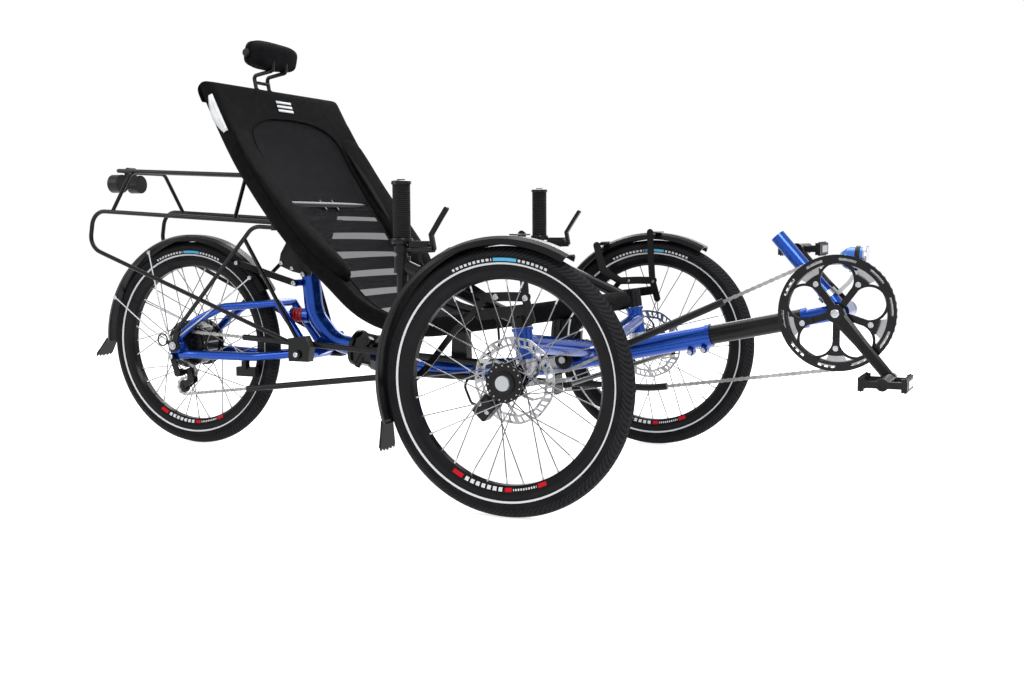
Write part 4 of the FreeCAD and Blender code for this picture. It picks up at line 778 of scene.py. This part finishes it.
def seat_marks(line):
    """A plain patch of three bars at the top and the reflective strips on the upper edges."""
    points = []
    faces = []
    half, tall, steps = 0.029, 0.006, 5
    for top in (0.020, 0.030, 0.040):
        base = len(points)
        for row in (top, top + tall):
            points += [line.cloth(row, half * (2 * n / steps - 1), 0.0022) for n in range(steps + 1)]
        faces += grid_faces(2, steps + 1, base)
    patch = piece_from("seat_patch", points, faces, REFLECTIVE, *ON_FRAME)
    thicken(patch, 0.0005)
    top, tall, steps = 0.022, 0.088, 10
    # across a strip: how far it lies behind the cloth and inside its outermost line
    across = ((0.0, 0.003), (0.008, 0.0), (0.016, 0.0), (0.024, 0.003))
    for name, side in SIDES:
        points = []
        for n in range(steps + 1):
            row = top + tall * n / steps
            place, normal = line.point(row)
            outer = line.half(COVER_HALF, row) + 0.0085
            reach = 0.5 + 0.5 * sin(pi * n / steps)
            for depth, inward in across:
                edge = Vector((place.x, side * (outer - inward), place.z))
                points.append(edge - normal * (depth * reach))
        faces = grid_faces(steps + 1, len(across))
        strip = piece_from("reflector_" + name, points, faces, REFLECTIVE, *ON_FRAME)
        thicken(strip, 0.0006, 0.0)


def woven(name, colour, weave, depth, alpha=1.0):
    """Woven cloth: two crossed waves for the threads."""
    paint = Paint(name, colour, 0.9, shine=0.06)
    paint.set("Alpha", alpha)
    threads = []
    for axis in ("X", "Y"):
        inputs = {"Vector": paint.place, "Scale": weave, "Distortion": 0.4}
        threads.append(paint.node("ShaderNodeTexWave", inputs, bands_direction=axis).outputs["Fac"])
    paint.vary(paint.noise(60, 4), 0.3)
    paint.bump(paint.times(*threads), depth)
    return paint.made


def seat():
    """The cover, its padded edges, the mesh panel and the straps behind it."""
    line = SeatLine()
    solid = woven("cover_cloth", (0.0055, 0.0055, 0.006), 260, 0.0004)
    mesh = woven("panel_mesh", (0.018, 0.018, 0.020), 160, 0.0008, 0.76)
    webbing = woven("webbing", (0.005, 0.005, 0.005), 300, 0.0004)
    seat_border(line, solid)
    seat_bolsters(line, solid)
    seat_panel(line, mesh)
    seat_seam(line, solid)
    seat_straps(line, webbing)
    seat_marks(line)


def headrest():
    """A stuffed pad with squared ends over the two bent rods, its piping and its knob."""
    cloth = woven("pad_cloth", (0.008, 0.008, 0.009), 220, 0.0005)
    centre = rear(234, 0, 666)
    tilt = Matrix.Rotation(radians(12), 3, "Y")
    half = Vector((0.034, 0.080, 0.031))
    # a power below 1 squares off a ball; the pad bows back and thins towards its two ends
    squareness = 0.50
    bow, end_thin, end_low = 0.006, 0.22, 0.10
    rows, around = 25, 32
    points = []
    for r in range(rows):
        lat = pi * (r / (rows - 1) - 0.5)
        for lon in angles(around):
            ball = (cos(lat) * cos(lon), cos(lat) * sin(lon), sin(lat))
            x, y, z = [signed_power(v, squareness) for v in ball]
            ahead = x * half.x * (1 - end_thin * y ** 2) - bow * (1 - y ** 2) + 0.003
            points.append(centre + tilt @ Vector((ahead, y * half.y, z * half.z * (1 - end_low * y ** 2))))
    faces = []
    for r in range(rows - 1):
        for c in range(around):
            a, b = r * around + c, r * around + (c + 1) % around
            faces.append((a, b, b + around, a + around))
    pad = piece_from("headrest_cushion", points, faces, cloth, *ON_FRAME)
    mend(pad.data, weld=0.0003)
    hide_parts("headrest_pad")

    piping = Forms()
    loop = []
    for turn in angles(48):
        y, z = signed_power(cos(turn), squareness), signed_power(sin(turn), squareness)
        place = Vector((-bow * (1 - y * y) - 0.004, y * half.y, z * half.z * (1 - end_low * y * y)))
        loop.append(centre + tilt @ place)
    piping.hoop(loop, 0.0016, 6)
    piping.piece("headrest_piping", *ON_FRAME, cloth)

    knob = Forms()
    profile = [(5, 0), (5, 4), (8.5, 5), (9, 7), (9, 11), (7, 13)]
    knob.turned(centre + Vector((-0.004, -0.077, 0)), (0, -1, 0), profile, 20)
    knob.piece("headrest_knob", "frame", "black_plastic")


# ---------------- chain
CHAIN_PITCH = 12.7
CHAIN_RING_TEETH, GEAR_TEETH = 52, 16
# how far from the middle plane the chain runs, in metres, on the right
CHAIN_SIDE = -0.048


def chain_line():
    """Points along the chain's loop in the XZ plane, from circle to circle by straight runs."""
    ring = CHAIN_PITCH / (2 * sin(pi / CHAIN_RING_TEETH))
    gear = CHAIN_PITCH / (2 * sin(pi / GEAR_TEETH))
    # each is a middle, a radius in millimetres and the way round; the two wide ones are gentle bends
    circles = [(BRACKET, ring, 1), (front(-40, 0, 3), 24, -1), (REAR_AXLE, gear, 1),
               (rear(22, 0, -62), 13, -1), (rear(2, 0, -100), 19, 1), (rear(655, 0, -292), 250, -1),
               (front(130, 0, 204), 250, 1)]
    circles = [(place, radius / 1000, turn) for place, radius, turn in circles]
    straight_step, round_step = 0.004, 0.002
    tangents = []
    for (a, r1, t1), (b, r2, t2) in zip(circles, circles[1:] + circles[:1]):
        heading = atan2(b.z - a.z, b.x - a.x) - asin((t2 * r2 - t1 * r1) / hypot(b.x - a.x, b.z - a.z))
        right = Vector((sin(heading), 0, -cos(heading)))
        tangents.append((a + right * t1 * r1, b + right * t2 * r2))
    line = []
    for n, (start, end) in enumerate(tangents):
        count = max(2, round((end - start).length / straight_step))
        line += [start.lerp(end, k / count) for k in range(count)]
        place, radius, turn = circles[(n + 1) % len(circles)]
        after = tangents[(n + 1) % len(circles)][0]
        first = atan2(end.z - place.z, end.x - place.x)
        swing = (atan2(after.z - place.z, after.x - place.x) - first) * turn % (2 * pi)
        count = max(2, round(swing * radius / round_step))
        for k in range(count):
            angle = first + turn * swing * k / count
            line.append(place + Vector((cos(angle), 0, sin(angle))) * radius)
    return line


def chain_stops():
    """Places for the pins, evenly spaced, so that a whole number of link pairs closes the loop."""
    line = chain_line()
    reach = [0.0]
    for a, b in zip(line, line[1:] + line[:1]):
        reach.append(reach[-1] + (b - a).length)
    links = round(reach[-1] / (CHAIN_PITCH / 1000) / 2) * 2
    stops = []
    n = 0
    for k in range(links):
        goal = reach[-1] * k / links
        while reach[n + 1] < goal:
            n += 1
        share = (goal - reach[n]) / (reach[n + 1] - reach[n])
        stops.append(line[n].lerp(line[(n + 1) % len(line)], share))
    return stops


def plate_shape():
    """A link plate with a waist: (share of the pitch, ahead, up), the last two in millimetres."""
    end_radius, waist = 4.0, 2.7
    shape = []
    for end in (1, -1):
        for step in range(5):
            turn = radians(-70 + 35 * step) + (0 if end > 0 else pi)
            shape.append((end * 0.5, cos(turn) * end_radius, sin(turn) * end_radius))
        shape.append((0.0, 0.0, waist * end))
    return shape


def chain():
    """Links of plates, rollers and pins along the whole loop."""
    stops = chain_stops()
    shape = plate_shape()
    inner_plate, outer_plate, plate_thick, right_shift = 1.8, 2.9, 0.0009, 0.5
    roller = [(2.6, -1.6), (2.6, 1.6)]
    pin = [(1.5, -4.2), (1.5, 4.2)]
    plates = Forms()
    for k, a in enumerate(stops):
        b = stops[(k + 1) % len(stops)]
        way = b - a
        length = way.length
        along = way / length
        up = Vector((-along.z, 0, along.x))
        middle = (a + b) / 2
        outline = [middle + along * (share * length + x / 1000) + up * (z / 1000) for share, x, z in shape]
        out = outer_plate if k % 2 else inner_plate
        for face in (-out - right_shift, out):
            low = CHAIN_SIDE + face / 1000
            plates.slab([Vector((p.x, low, p.z)) for p in outline], Vector((0, plate_thick, 0)))
        joint = Vector((a.x, CHAIN_SIDE, a.z))
        plates.turned(joint, (0, 1, 0), roller, 8)
        plates.turned(joint, (0, 1, 0), pin, 6)
    made = plates.piece("chain_links", "frame", "chain_steel")
    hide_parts("chain")


# ---------------- small metal parts
SPOKES = 32
# A spoke leaves its hub this far round from where it meets the rim.
SPOKE_LEAD = radians(62)
# Where a spoke leaves the hub, in millimetres: radius and place along the axle, by flange.
FRONT_FLANGES = ((27.5, 21.5), (33.0, -7.5))
REAR_FLANGES = ((53.0, 32.5), (53.0, -32.5))
# Where it meets the rim: radius and distance from the wheel's plane.
NIPPLE_RADIUS, NIPPLE_SIDE = 184, 3


def nipples():
    """Spoke nipples at the rims."""
    wheels = (("right", FRONT_FLANGES, "front_wheel_right", 1),
              ("left", FRONT_FLANGES, "front_wheel_left", -1),
              ("rear", REAR_FLANGES, "rear_wheel", 1))
    nipple = [(2.1, 0.0), (2.1, 3.0), (1.7, 4.0), (1.6, 11.0), (1.1, 12.0)]
    for name, flanges, body, mirror in wheels:
        centre = middle_of("tyre_" + name)
        forms = Forms()
        for n, at_rim in enumerate(angles(SPOKES)):
            radius, y = flanges[n % 2]
            at_hub = at_rim + SPOKE_LEAD * (1 if (n // 2) % 2 else -1)
            side = NIPPLE_SIDE if y > 0 else -NIPPLE_SIDE
            hub_end = Vector((radius * cos(at_hub), mirror * y, radius * sin(at_hub)))
            rim_end = Vector((NIPPLE_RADIUS * cos(at_rim), mirror * side, NIPPLE_RADIUS * sin(at_rim)))
            hub_end, rim_end = centre + hub_end / 1000, centre + rim_end / 1000
            forms.turned(rim_end, hub_end - rim_end, nipple, 8)
        forms.piece("nipples_" + name, body, "silver")


# A brake disc, in millimetres: its two rings as inner and outer radius and the height of their wave.
DISC_RINGS = ((61.5, 66.0, 0.8), (75.0, 79.3, 0.7))
DISC_WAVES = 12
RING_HALF_THICK = 0.95
ARM_HALF_THICK = 0.9
BARS, BAR_FROM, BAR_TO = 36, 64, 77
BAR_SLANT = radians(5)
ARMS = 6
# An arm's middle line: radius, and how far round it has swept, in degrees.
ARM_LINE = ((24, 0.0), (36, 7.0), (50, 18.0), (63.5, 34.0))
ARM_ROOT_TO = 30
ARM_ROOT_HALF, ARM_HALF = 5.0, 3.0
HUB_RING_INNER, HUB_RING_OUTER, HUB_RING_WAVE = 20.8, 27, 3


class Disc:
    """Forms laid out round one brake disc; turn is -1 on the right side and 1 on the left."""

    def __init__(self, centre, turn):
        self.centre = centre
        self.turn = turn
        self.forms = Forms()

    def at(self, radius, angle, lift):
        """A point by radius and angle, and how far outward it is from the disc's middle plane."""
        place = Vector((radius * cos(angle), self.turn * lift, radius * sin(angle)))
        return self.centre + place / 1000

    def ring(self, edges, half_thick):
        """A flat ring; edges lists its inner and outer radius at even angles."""
        rings = []
        for angle, (inner, outer) in zip(angles(len(edges)), edges):
            rings.append([self.at(inner, angle, -half_thick), self.at(outer, angle, -half_thick),
                          self.at(outer, angle, half_thick), self.at(inner, angle, half_thick)])
        self.forms.loft(rings, closed=True)

    def plate(self, outline):
        """A flat bar or arm; its outline is (radius, angle)."""
        lift = Vector((0, self.turn * 2 * ARM_HALF_THICK / 1000, 0))
        self.forms.slab([self.at(radius, angle, -ARM_HALF_THICK) for radius, angle in outline], lift)


def rotors():
    """Brake discs: two thin rings joined by slanted bars, on swept arms."""
    for name, turn in SIDES:
        disc = Disc(middle_of("rotor_" + name), turn)
        for inner, outer, wave in DISC_RINGS:
            swells = [wave * sin(DISC_WAVES * angle) for angle in angles(144)]
            disc.ring([(inner + swell, outer + swell) for swell in swells], RING_HALF_THICK)
        for n, start in enumerate(angles(BARS)):
            end = start + BAR_SLANT
            half = radians(1.5 if n % 3 else 3.2)
            disc.plate([(BAR_FROM, start - half), (BAR_FROM, start + half),
                        (BAR_TO, end + half), (BAR_TO, end - half)])
        for start in angles(ARMS):
            outline = []
            for side, steps in ((1, ARM_LINE), (-1, ARM_LINE[::-1])):
                for radius, lead in steps:
                    half = ARM_ROOT_HALF if radius < ARM_ROOT_TO else ARM_HALF
                    outline.append((radius, start + radians(lead) + side * half / radius))
            disc.plate(outline)
        outers = [HUB_RING_OUTER + HUB_RING_WAVE * cos(ARMS * angle) for angle in angles(72)]
        disc.ring([(HUB_RING_INNER, outer) for outer in outers], ARM_HALF_THICK)
        made = disc.forms.piece("rotor_cut_" + name, "front_wheel_" + name, "steel")
        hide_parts("rotor_" + name)


# Bolt heads on the frame as (x, y, z, radius), in millimetres from the rear axle.
RIGHT_BOLTS = ((311, -38, 150, 6.0), (-14, -78, -27, 6.5), (152.1, -37, 194.6, 5.0))
BOTH_SIDE_BOLTS = ((271, -26.6, 195, 5.0), (300, -26.6, 183, 5.0), (331, -30, 170, 6.0),
                   (345, -26.6, 215, 4.5), (288, -26.6, 252, 4.0), (0, -88, 0, 5.0),
                   (346, -86, -8, 6.0), (330, -130.2, 282, 4.5))
TO_RIGHT, TO_LEFT = (0, -1, 0), (0, 1, 0)
# The clamp under the main tube's front end: that end's place ahead of and above the front axles,
# the slope, and the bolts' places back along it, below it and to each side.
MAIN_FRONT_X, MAIN_FRONT_Z = 258, 60
BOOM_SLOPE = radians(11.85)
CLAMP_BACKS = (14, 42)
CLAMP_BELOW, CLAMP_HALF = 27, 16
CHAIN_RING_BOLTS, CHAIN_RING_BOLT_CIRCLE = 5, 66
# Bolts on a steered side: in the mudguard plate's two holes, in millimetres from the front axles,
# and on the brake's face, in metres from its middle.
GUARD_BOLTS = ((-44, 149), (15, 148))
GUARD_BOLT_SIDE = 364.5
CALIPER_BOLTS = ((-0.007, 0.007), (0.007, -0.007))


def bolts():
    """Bolt heads, by the body that carries them."""
    forms = Forms()
    for x, y, z, radius in RIGHT_BOLTS + BOTH_SIDE_BOLTS:
        forms.bolt(rear(x, y, z), TO_RIGHT, radius)
    for x, y, z, radius in BOTH_SIDE_BOLTS:
        forms.bolt(rear(x, -y, z), TO_LEFT, radius)
    for back in CLAMP_BACKS:
        x = MAIN_FRONT_X - back * cos(BOOM_SLOPE)
        z = MAIN_FRONT_Z - back * sin(BOOM_SLOPE) - CLAMP_BELOW
        for turn in (-1, 1):
            forms.bolt(front(x, turn * CLAMP_HALF, z), (0, turn, 0), 5.0)
    forms.piece("frame_bolts", "frame", "silver")

    forms = Forms()
    for turn in angles(CHAIN_RING_BOLTS):
        angle = radians(54) + turn
        place = Vector((CHAIN_RING_BOLT_CIRCLE * cos(angle), -57.3, CHAIN_RING_BOLT_CIRCLE * sin(angle)))
        forms.bolt(BRACKET + place / 1000, TO_RIGHT, 5.5, 2.5)
    for turn in (-1, 1):
        forms.bolt(BRACKET + Vector((0, turn * 0.0705, 0)), (0, turn, 0), 8.0, 2.5)
    forms.piece("crank_bolts", "crank", "silver")

    for name, turn in SIDES:
        forms = Forms()
        for x, z in GUARD_BOLTS:
            forms.bolt(front(x, turn * GUARD_BOLT_SIDE, z), (0, turn, 0), 6.0)
        low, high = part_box("brake_caliper_" + name)
        middle = (low + high) / 2
        face = low.y if turn < 0 else high.y
        for x, z in CALIPER_BOLTS:
            forms.bolt(Vector((middle.x + x, face, middle.z + z)), (0, turn, 0), 4.5)
        forms.piece("guard_bolts_" + name, "steered_" + name, "silver")


# Profiles above a grip's top and above its foot: (share of the grip's radius, millimetres up).
GRIP_PLUG = ((0.97, -6.0), (1.02, -5.0), (0.98, 0.3), (0.8, 1.6), (0.45, 2.0), (0.4, 4.0))
GRIP_COLLAR = ((1.06, 0.5), (1.1, 2.0), (1.1, 9.0), (1.06, 11.0))


def grips():
    """End plugs above the grips, and the collars that clamp them."""
    for name, _ in SIDES:
        low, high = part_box("grip_" + name)
        middle = (low + high) / 2
        radius = (high.y - low.y) * 1000 / 2
        forms = Forms()
        for z, profile in ((high.z, GRIP_PLUG), (low.z, GRIP_COLLAR)):
            profile = [(radius * share, along) for share, along in profile]
            forms.turned(Vector((middle.x, middle.y, z)), (0, 0, 1), profile, 24)
        forms.piece("grip_end_" + name, "steered_" + name, "black_metal")


PINS_PER_EDGE = 5
PIN = ((1.8, -0.5), (1.3, 2.2))
PIN_INSET = 0.004
# A pedal's end plate, in metres: half its width, its thickness and the gap under it.
PLATE_HALF, PLATE_THICK, PLATE_GAP = 0.026, 0.0012, 0.0002
PLATE_SHARE = 0.28


def pedals():
    """Pins along the cage plates and a bright plate at each end."""
    for name, _ in SIDES:
        low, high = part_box("pedal_" + name)
        plates = Forms()
        pins = Forms()
        tall = (high.z - low.z) * PLATE_SHARE
        for x, turn in ((low.x, -1), (high.x, 1)):
            middle = Vector((x + turn * PLATE_GAP, (low.y + high.y) / 2, (low.z + high.z) / 2))
            corners = [Vector((0, a * PLATE_HALF, b * tall)) for a, b in ((-1, -1), (1, -1), (1, 1), (-1, 1))]
            plates.slab([middle + corner for corner in corners], Vector((turn * PLATE_THICK, 0, 0)))
            for n in range(PINS_PER_EDGE):
                y = low.y + (high.y - low.y) * (n + 0.5) / PINS_PER_EDGE
                for z, way in ((high.z, 1), (low.z, -1)):
                    pins.turned(Vector((x - turn * PIN_INSET, y, z)), (0, 0, way), PIN, 8)
        plates.piece("pedal_plates_" + name, "pedal_" + name, "silver")
        pins.piece("pedal_pins_" + name, "pedal_" + name, "black_metal")


# Profiles as (radius, distance), in millimetres: the headlight's forward from its middle.
HEADLIGHT_LENS = ((21.5, 28.6), (21.5, 29.6), (12.0, 30.6), (1.0, 31.0))
HEADLIGHT_BAND = ((23.4, 8.0), (23.6, 9.0), (23.6, 16.0), (23.4, 17.0))
HEADLIGHT_RIM = ((24.7, 22.5), (25.0, 24.0), (25.0, 27.5), (24.0, 29.2), (22.0, 29.2))
REAR_LENS = ((19.0, 0.0), (19.0, 2.0), (15.0, 4.0), (2.0, 5.0))


def lamps():
    """Lens, band and rim of the headlight, and the red lenses at the back."""
    centre = BRACKET + Vector((0.017, 0, 0.101))
    for name, profile, slot, look in (("lens", HEADLIGHT_LENS, "silver", LAMP_GLASS),
                                      ("band", HEADLIGHT_BAND, "black_plastic", None),
                                      ("rim", HEADLIGHT_RIM, "silver", None)):
        forms = Forms()
        forms.turned(centre, (1, 0, 0), profile, 32)
        forms.piece("headlight_" + name, "frame", slot, look)
    forms = Forms()
    for side in (-1, 1):
        forms.turned(rear(-212, side * 33, 384), (-1, 0, 0), REAR_LENS, 24)
    forms.piece("rear_lenses", "frame", "black_plastic", RED_LENS)


camera()
studio()
dress_nodes()
seat()
headrest()
chain()
nipples()
rotors()
bolts()
grips()
pedals()
lamps()
